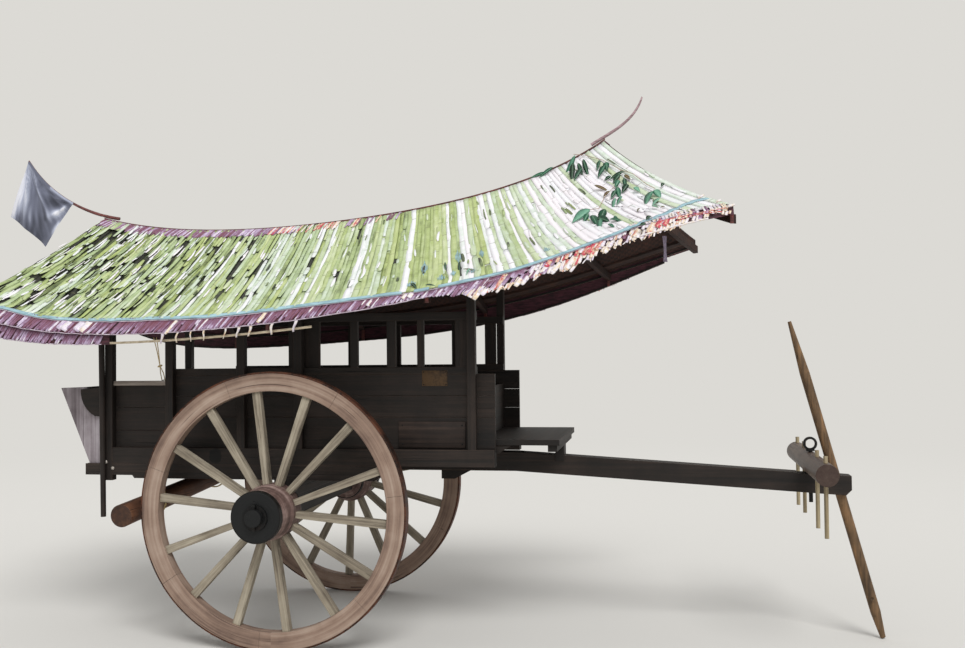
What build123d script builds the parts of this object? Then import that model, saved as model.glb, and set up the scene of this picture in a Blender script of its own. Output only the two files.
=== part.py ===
"""Two-wheeled bullock cart with a saddle-shaped roof, built as separate pieces.

X points forward along the draught pole, Y to the cart's left and Z up from the ground.
All heights are above the ground, and all X places are first measured from the axle.
"""
from build123d import *
from collections import namedtuple
import math
import os

os.makedirs("parts", exist_ok=True)

# Wheels
wheel_radius = 750
track = 1400
tyre_thickness = 10
tyre_width = 56
felloe_depth = 95
felloe_width = 64
felloe_count = 7
felloe_gap = 1.5
spoke_count = 14
spoke_at_nave = (34, 52)
spoke_at_rim = (45, 36)
spoke_offset = -15
foot_tenon = (22, 36, 45)
tongue = (22, 22, 35)
bore_radius = 47
nave_outer_end = -230
nave_inner_end = 130
nave_seat_radius = 148
nave_outer_radius = 130
nave_inner_radius = 112
band_thickness = 6
band_width = 34
wheel_turns = {"right": 5.5, "left": -11.2}

# Axle
axle_height = wheel_radius
axle_side = 110
axle_arm_radius = 45
axle_arm_end = 972
axle_beam_half = 545
washer_radius = 66
washer_thickness = 8
linchpin_radius = 7
linchpin_length = 130

# Bed
sill_outer = 520
sill_inner = 440
sill_bottom = 973
sill_top = 1065
bed_rear = -1090
bed_front = 1186
runner_tail = -1209
bolster_top = 900
joist_depth = 55
joist_width = 70
floor_thickness = 25
floor_planks = 8

# Side walls
post_side = 45
wall_outer = sill_outer - post_side
wall_inner = 450
rail_bottom = 1475
rail_top = 1514
head_bottom = 1770
head_top = 1815
cap_bottom = 1420
cap_top = 1446
plank_gap = 2

# Roof
roof_half_width = 850
skin_thickness = 30
lath_thickness = 14
lath_width = 35
rafter_depth = 45
rafter_width = 34
ridge_pole_side = 60
ridge_pole_drop = 70
cap_thickness = 5
cap_width = 39
plate_low_x = -517
plate_curve = 7.06e-5
plate_top = 1925
plate_depth = 62
ribbon_thickness = 6
band_reach = 45
stick_side = 9
peg_depth = 15
peg_half = 8
low_band_end = {"right": -850, "left": 2100}
low_stick_end = {"right": 290, "left": 2100}

# Draught pole, yoke and prop stake
pole_half_width = 52
pole_top = 1010
pole_depth = 110
pole_rear_x = -540
pole_bend_x = 1233
pole_nose_x = 3093
yoke_x = 2883
yoke_height = 961
yoke_radius = 57
yoke_half = 620
yoke_seat_height = 905
stake_radius = 27
stake_length = 1800
stake_lean = 15
stake_foot_x = 3251
stake_hole_radius = 30

# Flag at the rear of the ridge
flag_tail_x = -2057

# The origin lies under the middle of the whole length
front_reach = stake_foot_x + 28
axle_x = -(front_reach + flag_tail_x) / 2


def save(name, *solids):
    """Write one node, shifted from the axle to the part's own origin."""
    placed = [Pos(axle_x, 0, 0) * solid for solid in solids]
    shape = placed[0] if len(placed) == 1 else Compound(placed)
    export_step(shape, f"parts/{name}.step")


def block(x0, x1, y0, y1, z0, z1):
    """A squared timber between two corners."""
    return Pos((x0 + x1) / 2, (y0 + y1) / 2, (z0 + z1) / 2) * Box(x1 - x0, y1 - y0, z1 - z0)


def flipped(shape):
    """The same piece on the other side of the cart."""
    return mirror(shape, Plane.XZ)


def both(shape):
    return [shape, flipped(shape)]


def rod(start, end, radius, end_radius=None):
    """A round stick from one point to another, tapered where an end radius is given."""
    a = Vector(*start)
    b = Vector(*end)
    plane = Plane(origin=a, z_dir=b - a)
    length = (b - a).length
    if end_radius is None:
        return plane * Cylinder(radius, length, align=(Align.CENTER, Align.CENTER, Align.MIN))
    return plane * Cone(radius, end_radius, length, align=(Align.CENTER, Align.CENTER, Align.MIN))


def whip(points, radii):
    """A thin bent cane lofted through round sections square to its path."""
    path = [Vector(*point) for point in points]
    last = len(path) - 1
    sections = []
    for i, point in enumerate(path):
        along = path[min(i + 1, last)] - path[max(i - 1, 0)]
        sections.append(Plane(origin=point, x_dir=(0, 1, 0), z_dir=along) * Circle(radii[i]))
    return loft(sections)


def side_profile(points, half_width):
    """A timber whose side outline is given as (x, z) points."""
    face = make_face(Polyline(*[(x, 0, z) for x, z in points], close=True))
    return extrude(face, half_width, both=True, dir=(0, 1, 0))


# The wheel is made on the Y axis, with its outer side towards -Y
felloe_outer = wheel_radius - tyre_thickness
felloe_inner = felloe_outer - felloe_depth
spoke_step = 360 / spoke_count


def wheel_ring(outer, inner, y0, y1):
    ring = Cylinder(outer, y1 - y0) - Cylinder(inner, y1 - y0)
    return Pos(0, (y0 + y1) / 2, 0) * Rot(90, 0, 0) * ring


def around(shape):
    """One copy for each spoke."""
    return [Rot(0, spoke_step * (i + 0.5), 0) * shape for i in range(spoke_count)]


def make_tenons():
    """The square tenon at a spoke's foot and the tongue at its head."""
    foot = Pos(0, spoke_offset, nave_seat_radius - foot_tenon[2] / 2 + 1) * Box(*foot_tenon)
    head = Pos(0, 0, felloe_inner + tongue[2] / 2 - 1) * Box(*tongue)
    return foot, head


def make_nave():
    """Turned barrel with a raised seat for the spokes and a groove in front of it."""
    inner = nave_inner_end
    outer = nave_outer_end
    outline = [(bore_radius, inner), (nave_inner_radius, inner), (nave_inner_radius, inner - band_width),
               (130, 76), (nave_seat_radius, 42), (nave_seat_radius, -74), (141, -82), (135, -90),
               (141, -98), (139, -140), (nave_outer_radius, outer + band_width),
               (nave_outer_radius, outer), (bore_radius, outer)]
    return revolve(make_face(Polyline(*outline, close=True)), Axis.Y)


def make_spoke(solid_nave, foot, head):
    start = Pos(0, spoke_offset, nave_seat_radius - 12) * Rectangle(*spoke_at_nave)
    end = Pos(0, 0, felloe_inner + 12) * Rectangle(*spoke_at_rim)
    spoke = loft([start, end]) - solid_nave
    spoke = spoke & (Rot(90, 0, 0) * Cylinder(felloe_inner, 200))
    return spoke + foot + head


def make_felloes(tongues):
    step = 360 / felloe_count
    half = step / 2 - math.degrees(felloe_gap / 2 / felloe_outer)

    def at(radius, angle):
        turn = math.radians(angle)
        return (radius * math.sin(turn), 0, radius * math.cos(turn))

    outline = [
        ThreePointArc(at(felloe_outer, -half), at(felloe_outer, 0), at(felloe_outer, half)),
        Line(at(felloe_outer, half), at(felloe_inner, half)),
        ThreePointArc(at(felloe_inner, half), at(felloe_inner, 0), at(felloe_inner, -half)),
        Line(at(felloe_inner, -half), at(felloe_outer, -half)),
    ]
    felloe = extrude(make_face(Wire(outline)), felloe_width / 2, both=True, dir=(0, 1, 0))
    felloe -= [tongues[-1], tongues[0]]
    return [Rot(0, step * i, 0) * felloe for i in range(felloe_count)]


solid_nave = make_nave()
foot, head = make_tenons()
spoke = make_spoke(solid_nave, foot, head)
wheel_pieces = {
    "nave": [solid_nave - around(foot)],
    "spokes": around(spoke),
    "felloes": make_felloes(around(head)),
    "tyre": [wheel_ring(wheel_radius, felloe_outer, -tyre_width / 2, tyre_width / 2)],
    "nave_bands": [
        wheel_ring(nave_outer_radius + band_thickness, nave_outer_radius,
                   nave_outer_end, nave_outer_end + band_width),
        wheel_ring(nave_inner_radius + band_thickness, nave_inner_radius,
                   nave_inner_end - band_width, nave_inner_end),
    ],
}
wheel_place = Pos(0, -track / 2, axle_height)
for name, solids in wheel_pieces.items():
    right = [wheel_place * Rot(0, wheel_turns["right"], 0) * solid for solid in solids]
    left = [flipped(wheel_place * Rot(0, wheel_turns["left"], 0) * solid) for solid in solids]
    save(f"{name}_right", *right)
    save(f"{name}_left", *left)

# Axle with its round arms, washers and linchpins
axle = block(-axle_side / 2, axle_side / 2, -axle_beam_half, axle_beam_half,
             axle_height - axle_side / 2, axle_height + axle_side / 2)
axle += Pos(0, 0, axle_height) * Rot(90, 0, 0) * Cylinder(axle_arm_radius, 2 * axle_arm_end)
nave_end = track / 2 - nave_outer_end
nave_play = 3
linchpin_y = nave_end + nave_play + washer_thickness + 1.7 * linchpin_radius
linchpin = Pos(0, linchpin_y, axle_height) * Cylinder(linchpin_radius, linchpin_length)
linchpin += Pos(0, linchpin_y, axle_height + linchpin_length / 2) * Cylinder(linchpin_radius * 1.5, 14)
axle -= linchpin + flipped(linchpin)
save("axle_beam", axle)
washer = Rot(90, 0, 0) * (Cylinder(washer_radius, washer_thickness)
                          - Cylinder(axle_arm_radius, washer_thickness))
washer = Pos(0, nave_end + nave_play + washer_thickness / 2, axle_height) * washer
save("axle_washers", *both(washer))
save("linchpins", *both(linchpin))

# Draught pole with its mortice for the prop stake
pole_slope = (pole_top - yoke_seat_height) / (yoke_x - pole_bend_x)
nose_top = pole_top - pole_slope * (pole_nose_x - pole_bend_x)
pole_outline = [(pole_rear_x, pole_top - pole_depth), (pole_bend_x, pole_top - pole_depth),
                (pole_nose_x - 30, nose_top - pole_depth + 4), (pole_nose_x, nose_top - pole_depth + 34),
                (pole_nose_x, nose_top), (pole_bend_x, pole_top), (pole_rear_x, pole_top)]
pole = side_profile(pole_outline, pole_half_width)
lean = math.radians(stake_lean)
stake_axis = Vector(-math.sin(lean), 0, math.cos(lean))
stake_foot = Vector(stake_foot_x, 0, 0) + stake_axis * (stake_radius * math.tan(lean))


def along_stake(distance):
    return stake_foot + stake_axis * distance


pole -= rod(along_stake(600), along_stake(1200), stake_hole_radius)
pole -= block(yoke_x - 75, yoke_x + 62, -100, 100, yoke_seat_height - 1, yoke_seat_height + 100)

# Iron pin with a flat ring on top, which holds the yoke on the pole
pin_radius = 11
ring_height = 1064
ring_outer = 38
ring_inner = 25
pin = Pos(yoke_x, 0, 740) * Cylinder(pin_radius, 292, align=(Align.CENTER, Align.CENTER, Align.MIN))
pin += Pos(yoke_x, 0, 1024) * Cylinder(24, 8, align=(Align.CENTER, Align.CENTER, Align.MIN))
pin += Pos(yoke_x, 0, ring_height) * Rot(90, 0, 0) * (Cylinder(ring_outer, 13) - Cylinder(ring_inner, 13))
pole -= pin
save("draught_pole", pole)
save("yoke_pin", pin)

# Bolster on the axle, runners notched over it, sills and joists
bolster = block(-60, 60, -sill_outer, sill_outer, axle_height + axle_side / 2, bolster_top)
save("axle_bolster", bolster)
rear_post_x = -1064
rear_post_foot = 878
rear_post = block(rear_post_x - post_side / 2, rear_post_x + post_side / 2, -sill_outer, -wall_outer,
                  rear_post_foot, plate_top + 60)
runner_outline = [(runner_tail, 909), (-918, 909), (-905, 892), (520, 892), (590, 940), (590, sill_bottom),
                  (runner_tail, sill_bottom)]
runner = Pos(0, -(sill_outer + sill_inner) / 2, 0) * side_profile(runner_outline, (sill_outer - sill_inner) / 2)
runner -= [bolster, rear_post]
save("runners", *both(runner))
sill = block(bed_rear, bed_front, -sill_outer, -sill_inner, sill_bottom, sill_top) - rear_post
save("sills", *both(sill))
joist_places = (-1000, -500, 0, 500, 1050)
joists = [block(x - joist_width / 2, x + joist_width / 2, -sill_inner, sill_inner,
                sill_top - joist_depth, sill_top) for x in joist_places]
save("joists", *joists)
floor_rear = -1190
floor_front = 1064
plank_pitch = 2 * wall_inner / floor_planks
planks = [block(floor_rear, floor_front, -wall_inner + plank_pitch * i + plank_gap,
                -wall_inner + plank_pitch * (i + 1) - plank_gap,
                sill_top, sill_top + floor_thickness) for i in range(floor_planks)]
save("floor_planks", *planks)

# Roof: each side is built from leaning sections from the ridge down to the eave
RoofStation = namedtuple("RoofStation", "ridge_x ridge_z eave_x eave_z sag band_drop low_drop")
roof_table = [
    # ridge_x, ridge_z, eave_x, eave_z, sag, band_drop, low_drop right, low_drop left
    (-1391, 2450, -1657, 1935, 15, 110, 205, 190),
    (-817, 2360, -887, 1792, 20, 85, 138, 160),
    (-17, 2368, 43, 1835, 25, 85, 132, 160),
    (733, 2455, 903, 1935, 30, 62, 118, 160),
    (1347, 2605, 1733, 2140, 40, 60, 110, 125),
    (1770, 2807, 2433, 2292, 50, 48, 70, 70),
]
left_front_corner = (2300, 2305)
right_stations = [RoofStation(*row[:7]) for row in roof_table]
left_stations = [RoofStation(*row[:6], row[7]) for row in roof_table]
left_stations[-1] = left_stations[-1]._replace(eave_x=left_front_corner[0], eave_z=left_front_corner[1])


def section_arc(station, drop, reverse=False):
    """The sagging line from the ridge to the eave, a given drop below the roof's top."""
    ridge = (station.ridge_x, 0, station.ridge_z - drop)
    eave = (station.eave_x, -roof_half_width, station.eave_z - drop)
    middle = ((station.ridge_x + station.eave_x) / 2, -roof_half_width / 2,
              (station.ridge_z + station.eave_z) / 2 - station.sag - drop)
    return ThreePointArc(eave, middle, ridge) if reverse else ThreePointArc(ridge, middle, eave)


def section_face(station, top_drop, low_drop):
    top = section_arc(station, top_drop)
    low = section_arc(station, low_drop, reverse=True)
    return make_face(Wire([top, Line(top @ 1, low @ 0), low, Line(low @ 1, top @ 0)]))


def roof_layer(stations, top_drop, low_drop):
    """One layer of the roof's side, with the same curves as the skin but at its own depth."""
    return loft([section_face(station, top_drop, low_drop) for station in stations])


def eave_ribbon(stations, top, low, thickness):
    """A ribbon hung outside the eave; top and low give its (outward, drop) at a station."""
    sections = []
    for station in stations:
        upper_out, upper_drop = top(station)
        lower_out, lower_drop = low(station)
        corners = [(upper_out, upper_drop), (lower_out, lower_drop),
                   (lower_out + thickness, lower_drop), (upper_out + thickness, upper_drop)]
        points = [(station.eave_x, -roof_half_width - out, station.eave_z - drop) for out, drop in corners]
        sections.append(make_face(Polyline(*points, close=True)))
    return loft(sections)


def biggest(shape):
    return max(shape.solids(), key=lambda solid: solid.volume)


def across(y0, y1):
    """A slab over the whole length between two distances from the centre line."""
    return block(-3000, 3000, -y1, -y0, 0, 3000)


ridge_sections = [Plane(origin=(station.ridge_x, 0, station.ridge_z - ridge_pole_drop - ridge_pole_side / 2),
                        z_dir=(1, 0, 0)) * Rectangle(ridge_pole_side, ridge_pole_side)
                  for station in right_stations]
ridge_pole = loft(ridge_sections)
save("ridge_pole", ridge_pole)

lath_places = (120, 425, 765)
lath_top = skin_thickness
lath_seat = 3
rafter_top = lath_top + lath_thickness - lath_seat
rafter_end_drop = rafter_top + rafter_depth
seam = 0.5
roof_pieces = {"roof_laths": [], "rafters": [], "ridge_cap": [], "eave_laths": [], "eave_pegs": []}
plate_notches = []
for side, stations in (("right", right_stations), ("left", left_stations)):
    place = flipped if side == "left" else (lambda shape: shape)
    skin = roof_layer(stations, 0, skin_thickness)
    save(f"roof_skin_{side}", place(skin))
    layer = roof_layer(stations, lath_top, lath_top + lath_thickness)
    laths = [layer & across(y, y + lath_width) for y in lath_places]
    roof_pieces["roof_laths"] += [place(piece) for piece in laths]
    cap = roof_layer(stations, -cap_thickness, 0) & across(seam, cap_width)
    roof_pieces["ridge_cap"].append(place(cap))
    stick_out = peg_depth
    band_out = stick_out + stick_side
    band = eave_ribbon(stations, lambda s: (seam, 4), lambda s: (band_reach + 1, s.band_drop), ribbon_thickness)
    low_band = eave_ribbon(stations, lambda s: (band_out, s.band_drop - 14),
                           lambda s: (band_out, s.low_drop), ribbon_thickness)
    low_band &= block(-3000, low_band_end[side], -1200, 0, 0, 3000)
    save(f"eave_band_{side}", place(band), place(low_band))
    upper_stick = eave_ribbon(stations, lambda s: (stick_out, s.band_drop - 20),
                              lambda s: (stick_out, s.band_drop - 8), stick_side)
    low_stick = eave_ribbon(stations, lambda s: (stick_out, s.low_drop - 14),
                            lambda s: (stick_out, s.low_drop - 2), stick_side)
    low_stick &= block(-3000, low_stick_end[side], -1200, 0, 0, 3000)
    roof_pieces["eave_laths"] += [place(upper_stick), place(low_stick)]
    for i, station in enumerate(stations):
        face = section_face(station, rafter_top, rafter_end_drop)
        rafter = extrude(face, rafter_width / 2, both=True) - across(-100, ridge_pole_side / 2)
        for piece in (*laths, skin):
            rafter -= piece
        rafter = biggest(rafter)
        plate_notches.append(rafter)
        roof_pieces["rafters"].append(place(rafter))
        peg_shift = {0: peg_half, len(stations) - 1: -peg_half}.get(i, 0)
        peg_x = station.eave_x + peg_shift
        peg_low = station.low_drop if station.eave_x < low_stick_end[side] else rafter_end_drop
        peg_top = min(rafter_top + peg_half, station.band_drop - 20)
        peg = block(peg_x - peg_half, peg_x + peg_half, -roof_half_width - peg_depth, -roof_half_width,
                    station.eave_z - peg_low, station.eave_z - peg_top)
        roof_pieces["eave_pegs"].append(place(biggest(peg - rafter)))
for name, solids in roof_pieces.items():
    save(name, *solids)

# A split cane laid along the ridge over the joint of the two cap strips
cane_width = 14
cane_depth = 8
cane_lift = cap_thickness + 3
cane_sections = [Plane(origin=(station.ridge_x, 0, station.ridge_z + cane_lift + cane_depth / 2),
                       x_dir=(0, 1, 0), z_dir=(1, 0, 0)) * Rectangle(cane_width, cane_depth)
                 for station in right_stations]
ridge_cane = loft(cane_sections)
save("ridge_cane", ridge_cane)


def plate_wire():
    """The curved wall plate's outline: one arc above another."""
    ends = (-1247, 1463)
    middle = sum(ends) / 2
    top = [(x, 0, plate_top + plate_curve * (x - plate_low_x) ** 2) for x in (ends[0], middle, ends[1])]
    low = [(x, y, z - plate_depth) for x, y, z in top]
    return Wire([ThreePointArc(*top), Line(top[2], low[2]), ThreePointArc(*reversed(low)), Line(low[0], top[0])])


plate = extrude(make_face(plate_wire()), post_side / 2, both=True, dir=(0, 1, 0))
plate = biggest(Pos(0, -sill_outer + post_side / 2, 0) * plate - plate_notches)
save("wall_plates", *both(plate))

# Posts, from the sill up to the wall plate; the rear ones pass the sill and runner
post_places = (-690, -258, 80, 1064)
posts = [rear_post]
for x in post_places:
    posts.append(block(x - post_side / 2, x + post_side / 2, -sill_outer, -wall_outer,
                       sill_top, plate_top + 160))
posts = [min((post - plate).solids(), key=lambda solid: solid.center().Z) for post in posts]
save("posts_right", *posts)
save("posts_left", *[flipped(post) for post in posts])

# Tie beams across the cart, between the inner faces of the wall plates
tie_places = (-1064, 80, 1064)
tie_side = 45
ties = []
for x in tie_places:
    tie_top = plate_top + plate_curve * (x - plate_low_x) ** 2 - 12
    ties.append(block(x - tie_side / 2, x + tie_side / 2, -wall_outer, wall_outer,
                      tie_top - tie_side, tie_top))
save("tie_beams", *ties)

# Plank walls inside the posts, open above the rails
second_post_x = post_places[0]
wall_table = [
    # rear end, front end, seams from the sill upwards
    (bed_rear + 18, second_post_x - 1, (sill_top, 1160, 1293, cap_bottom)),
    (second_post_x + 1, bed_front, (sill_top, 1238, 1356, rail_bottom)),
]
wall_rows = [block(rear, front, -wall_outer, -wall_inner, low + plank_gap * (low > sill_top), high)
             for rear, front, seams in wall_table for low, high in zip(seams, seams[1:])]
save("wall_planks_right", *wall_rows)
save("wall_planks_left", *[flipped(row) for row in wall_rows])
rear_post_front = rear_post_x + post_side / 2
second_post_rear = second_post_x - post_side / 2
cap_rail = block(rear_post_front, second_post_rear, -wall_outer - 30, -wall_inner, cap_bottom, cap_top)
save("cap_rails", *both(cap_rail))
corner_post_front = post_places[-1] + post_side / 2
rail = block(second_post_rear, corner_post_front, -wall_outer, -wall_inner, rail_bottom, rail_top)
save("middle_rails", *both(rail))
window_head = block(bed_rear + 18, corner_post_front, -wall_outer, -wall_inner, head_bottom, head_top)
save("window_heads", *both(window_head))


def baluster(x, width):
    return block(x - width / 2, x + width / 2, -wall_outer, -wall_inner, rail_top, head_bottom)


shared_balusters = [baluster(x, width) for x, width in ((394, 43), (773, 37), (1004, 70))]
save("balusters", *shared_balusters, *[flipped(piece) for piece in shared_balusters], baluster(607, 50))
save("side_panel", block(2, 187, -wall_inner, -wall_inner + 14, rail_top - 20, head_bottom + 20))

# Ends of the body: front board, leaning tailboard, its wings and their brackets
front_board_top = 1390
save("front_board", block(1066, 1085, -wall_inner, wall_inner, sill_top, front_board_top))
wing_outline = [(-1196, sill_bottom), (-1090, sill_bottom), (-1090, 1250), (-1200, 1349),
                (-1213, 1413), (-1378, 1408)]
wing_centre = -wall_outer - 11
wing = Pos(0, wing_centre, 0) * side_profile(wing_outline, 11) - sill
save("tail_wings", *both(wing))
tailboard_outline = [(-1193, 980), (-1368, 1398), (-1348, 1406), (-1173, 988)]
save("tailboard", side_profile(tailboard_outline, wall_outer))
bracket_rear = [(-1150, 0, 1245), (-1222, 0, 1316), (-1240, 0, 1400)]
bracket_outline = [Line((-1088, 0, 1245), bracket_rear[0]), ThreePointArc(*bracket_rear),
                   Line(bracket_rear[2], (-1088, 0, 1413)), Line((-1088, 0, 1413), (-1088, 0, 1245))]
bracket = extrude(make_face(Wire(bracket_outline)), 11, both=True, dir=(0, 1, 0))
save("tail_brackets", *both(Pos(0, wing_centre - 22, 0) * bracket))

# Front platform on slanting braces, and blocks on and under the pole
platform_bottom = 1086
platform_front = 1530
platform = block(corner_post_front + 1, platform_front, -wall_inner + 2, wall_inner - 2,
                 platform_bottom, platform_bottom + 30)
save("front_platform", platform)
brace_outline = [(1060, 995), (1131, 1000), (1272, platform_bottom), (1185, platform_bottom), (1060, 1010)]
brace_half = 22
brace = Pos(0, -sill_inner + brace_half, 0) * side_profile(brace_outline, brace_half)
brace -= joists[-1]
save("platform_braces", *both(biggest(brace)))
bearer = block(1465, 1515, -430, 430, platform_bottom - 36, platform_bottom)
bearer += block(1465, 1515, -60, 60, 960, platform_bottom - 30)
bearer = max((bearer - pole).solids(), key=lambda solid: solid.center().Z)
under_block = side_profile([(790, 900), (790, 850), (870, 850), (966, 900)], 45)
save("pole_blocks", bearer, under_block)

# Yoke, free to swivel on its pin
yoke = Pos(yoke_x, 0, yoke_height) * Rot(90, 0, 0) * Cylinder(yoke_radius, 2 * yoke_half)
yoke -= block(yoke_x - 200, yoke_x + 200, -90, 90, 800, yoke_seat_height + 1)
yoke -= block(yoke_x - 200, yoke_x + 200, -45, 45, 1016, 1100)
yoke -= Pos(yoke_x, 0, yoke_height) * Cylinder(pin_radius + 2, 300)
neck_pins = []
for y in (-560, -260, 260, 560):
    neck_pin = rod((yoke_x, y, 640), (yoke_x, y, yoke_height + yoke_radius + 35), 11)
    yoke -= neck_pin
    neck_pins.append(neck_pin)
save("yoke_beam", yoke)
save("yoke_neck_pins", *neck_pins)

# Prop stake, lowered to the ground and drawn out to a point at both ends
foot_taper = 140
top_taper = 300
stake = rod(along_stake(foot_taper), along_stake(stake_length - top_taper), stake_radius)
stake += rod(along_stake(0), along_stake(foot_taper), 14, stake_radius)
stake += rod(along_stake(stake_length - top_taper), along_stake(stake_length), stake_radius, 10)
stake -= block(stake_foot_x - 300, stake_foot_x + 300, -100, 100, -200, 0)
peg = rod(along_stake(220) + Vector(0, -70, 0), along_stake(220) + Vector(0, 70, 0), 9)
stake -= peg
save("prop_stake", stake)
save("stake_peg", peg)

# Brake log behind the wheels, in slings from pegs inside the sills
log_right = Vector(-838, -780, 719)
log_left = Vector(-846, 780, 812)
log_radius = 62
log_left_radius = 54
brake_log = rod(log_right, log_left, log_radius, log_left_radius)
sling_y = 405
sling_peg = (-842, 1000)
sling_thickness = 16
slings = []
sling_pegs = []
for side in (-1, 1):
    share = (side * sling_y - log_right.Y) / (log_left.Y - log_right.Y)
    centre = log_right + (log_left - log_right) * share
    pieces = []
    for grow in (sling_thickness, 0):
        top = Pos(*sling_peg) * Circle(14 + grow)
        low = Pos(centre.X, centre.Z) * Circle(log_radius + grow)
        hull = make_hull([*top.edges(), *low.edges()])
        pieces.append(Rot(90, 0, 0) * extrude(hull, 10, both=True))
    sling = Pos(0, side * sling_y, 0) * (pieces[0] - pieces[1])
    slings.append(sling - brake_log)
    sling_pegs.append(rod((sling_peg[0], side * sill_inner, sling_peg[1]),
                          (sling_peg[0], side * (sling_y - 24), sling_peg[1]), 12))
save("brake_log", brake_log)
save("brake_slings", *slings)
save("sling_pegs", *sling_pegs)

# Rear stick against the corner post, whips on the ridge and the flag
stick_y = -sill_outer - 17
save("rear_stick", rod((-1087, stick_y, 672), (-1099, stick_y, 1800), 15, 17))
save("front_whip", whip([(1690, 0, 2790), (1786, 0, 2845), (1886, 0, 2912), (1986, 0, 3055)], (9, 9, 8, 5)))
flag_whip = whip([(-1290, 0, 2457), (-1391, 0, 2478), (-1597, 0, 2558), (-1924, 0, 2850)], (10, 10, 8, 6))
save("flag_whip", flag_whip)
flag_corners = [(-1912, 2825), (-1607, 2548), (-1811, 2295), (flag_tail_x, 2495)]
save("flag", biggest(side_profile(flag_corners, 3) - flag_whip))
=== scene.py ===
"""Finishes and fine pieces for a two-wheeled bullock cart with a saddle roof.

All lengths are metres in the frame's own axes: X forward, Y to the cart's left and Z up.
"""
import math
import random

import bpy
import numpy as np
from bpy.props import FloatProperty, FloatVectorProperty, IntProperty, PointerProperty
from mathutils import Matrix, Vector, noise
from mathutils.bvhtree import BVHTree


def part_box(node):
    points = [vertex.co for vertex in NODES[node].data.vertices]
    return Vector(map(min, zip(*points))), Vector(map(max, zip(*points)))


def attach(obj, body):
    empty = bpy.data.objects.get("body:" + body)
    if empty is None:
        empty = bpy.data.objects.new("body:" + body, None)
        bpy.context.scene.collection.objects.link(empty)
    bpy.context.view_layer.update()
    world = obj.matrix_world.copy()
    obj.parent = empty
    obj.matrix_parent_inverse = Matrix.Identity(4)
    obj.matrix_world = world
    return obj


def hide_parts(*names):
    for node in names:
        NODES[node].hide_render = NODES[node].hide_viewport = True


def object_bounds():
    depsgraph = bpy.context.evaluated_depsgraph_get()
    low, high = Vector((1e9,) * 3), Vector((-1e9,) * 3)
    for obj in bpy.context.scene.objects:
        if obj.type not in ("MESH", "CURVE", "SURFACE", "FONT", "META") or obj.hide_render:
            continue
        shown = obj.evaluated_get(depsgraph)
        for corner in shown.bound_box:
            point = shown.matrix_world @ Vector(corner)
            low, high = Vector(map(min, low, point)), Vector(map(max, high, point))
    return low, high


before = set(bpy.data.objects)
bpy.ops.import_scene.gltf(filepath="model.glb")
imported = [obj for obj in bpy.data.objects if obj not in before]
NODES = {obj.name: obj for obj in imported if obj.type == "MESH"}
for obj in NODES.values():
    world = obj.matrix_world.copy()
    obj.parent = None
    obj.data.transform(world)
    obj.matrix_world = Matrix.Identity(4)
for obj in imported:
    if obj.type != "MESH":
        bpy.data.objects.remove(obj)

bl_info = {
    "name": "Bullock Cart Finishes",
    "version": (1, 0, 0),
    "blender": (4, 5, 0),
    "location": "View3D > Sidebar > Cart",
    "description": "Lays the strip roof, bands, leaves, ropes and weathered finishes on the cart",
    "category": "Object",
}

CAD_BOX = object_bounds()
MM = 0.001

TYRE_LOW, TYRE_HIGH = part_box("tyre_right")
WHEEL_CENTRE = (TYRE_LOW + TYRE_HIGH) / 2
WHEEL_RADIUS = WHEEL_CENTRE.z

# The photograph's frame in pixels, and the lens and stand that match it
PHOTO_SIZE = (965, 648)
FOCAL_PIXELS = 1020
SENSOR_WIDTH = 36
CAMERA_PLACE = Vector((1.492, -5.93, 1.61))
CAMERA_YAW = math.radians(-10.2)
CAMERA_PITCH = math.radians(1.4)
CAMERA_ROLL = math.radians(-0.6)

SIDES = ("right", "left")
UP = Vector((0, 0, 1))
FORWARD = Vector((1, 0, 0))
# Level rays at the eave start this far from the middle, outside the whole cart
OUTSIDE = 1.2
# A split strip lies from this share of the way down the roof to that one
STRIP_START, STRIP_END = 0.012, 0.992


def linear(colour):
    """An sRGB hex colour as the linear values that a shader works in."""
    channels = [int(colour[i:i + 2], 16) / 255 for i in (1, 3, 5)]
    return (*[c / 12.92 if c <= 0.04045 else ((c + 0.055) / 1.055) ** 2.4 for c in channels], 1.0)


def colour_setting(name, description, value):
    return FloatVectorProperty(name=name, description=description, default=linear(value),
                               size=4, min=0, max=1, subtype="COLOR")


def size_setting(name, description, millimetres):
    return FloatProperty(name=name, description=description, default=millimetres * MM,
                         min=0, unit="LENGTH")


class CartRoofSettings(bpy.types.PropertyGroup):
    """Sizes of the roof's covering."""
    strip_count: IntProperty(name="Strips", description="Split strips on each side of the roof",
                             default=140, min=10)
    strip_thickness: size_setting("Strip thickness", "Thickness of a split strip", 1.6)
    strip_crown: size_setting("Strip crown", "How far a strip's middle stands above its edges", 2.2)
    fleck_width: size_setting("Fleck width", "Width of a short strip in the eave bands", 13)
    line_width: size_setting("Painted line", "Width of the blue line above the eave", 19)
    loose_count: IntProperty(name="Loose bits", description="Loose bits of strip on each side",
                             default=430, min=0)


class CartTrimSettings(bpy.types.PropertyGroup):
    """Sizes of the ropes, leaves, flag and fastenings."""
    rope_diameter: size_setting("Rope", "Diameter of the sling rope", 9)
    cord_diameter: size_setting("Cord", "Diameter of the window cord", 7)
    leaf_lift: size_setting("Leaf lift", "How far the leaves stand off the strips", 16)
    flag_fold: size_setting("Flag fold", "Depth of the folds in the flag", 30)
    bolt_diameter: size_setting("Bolt head", "Diameter of a bolt head", 22)


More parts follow.
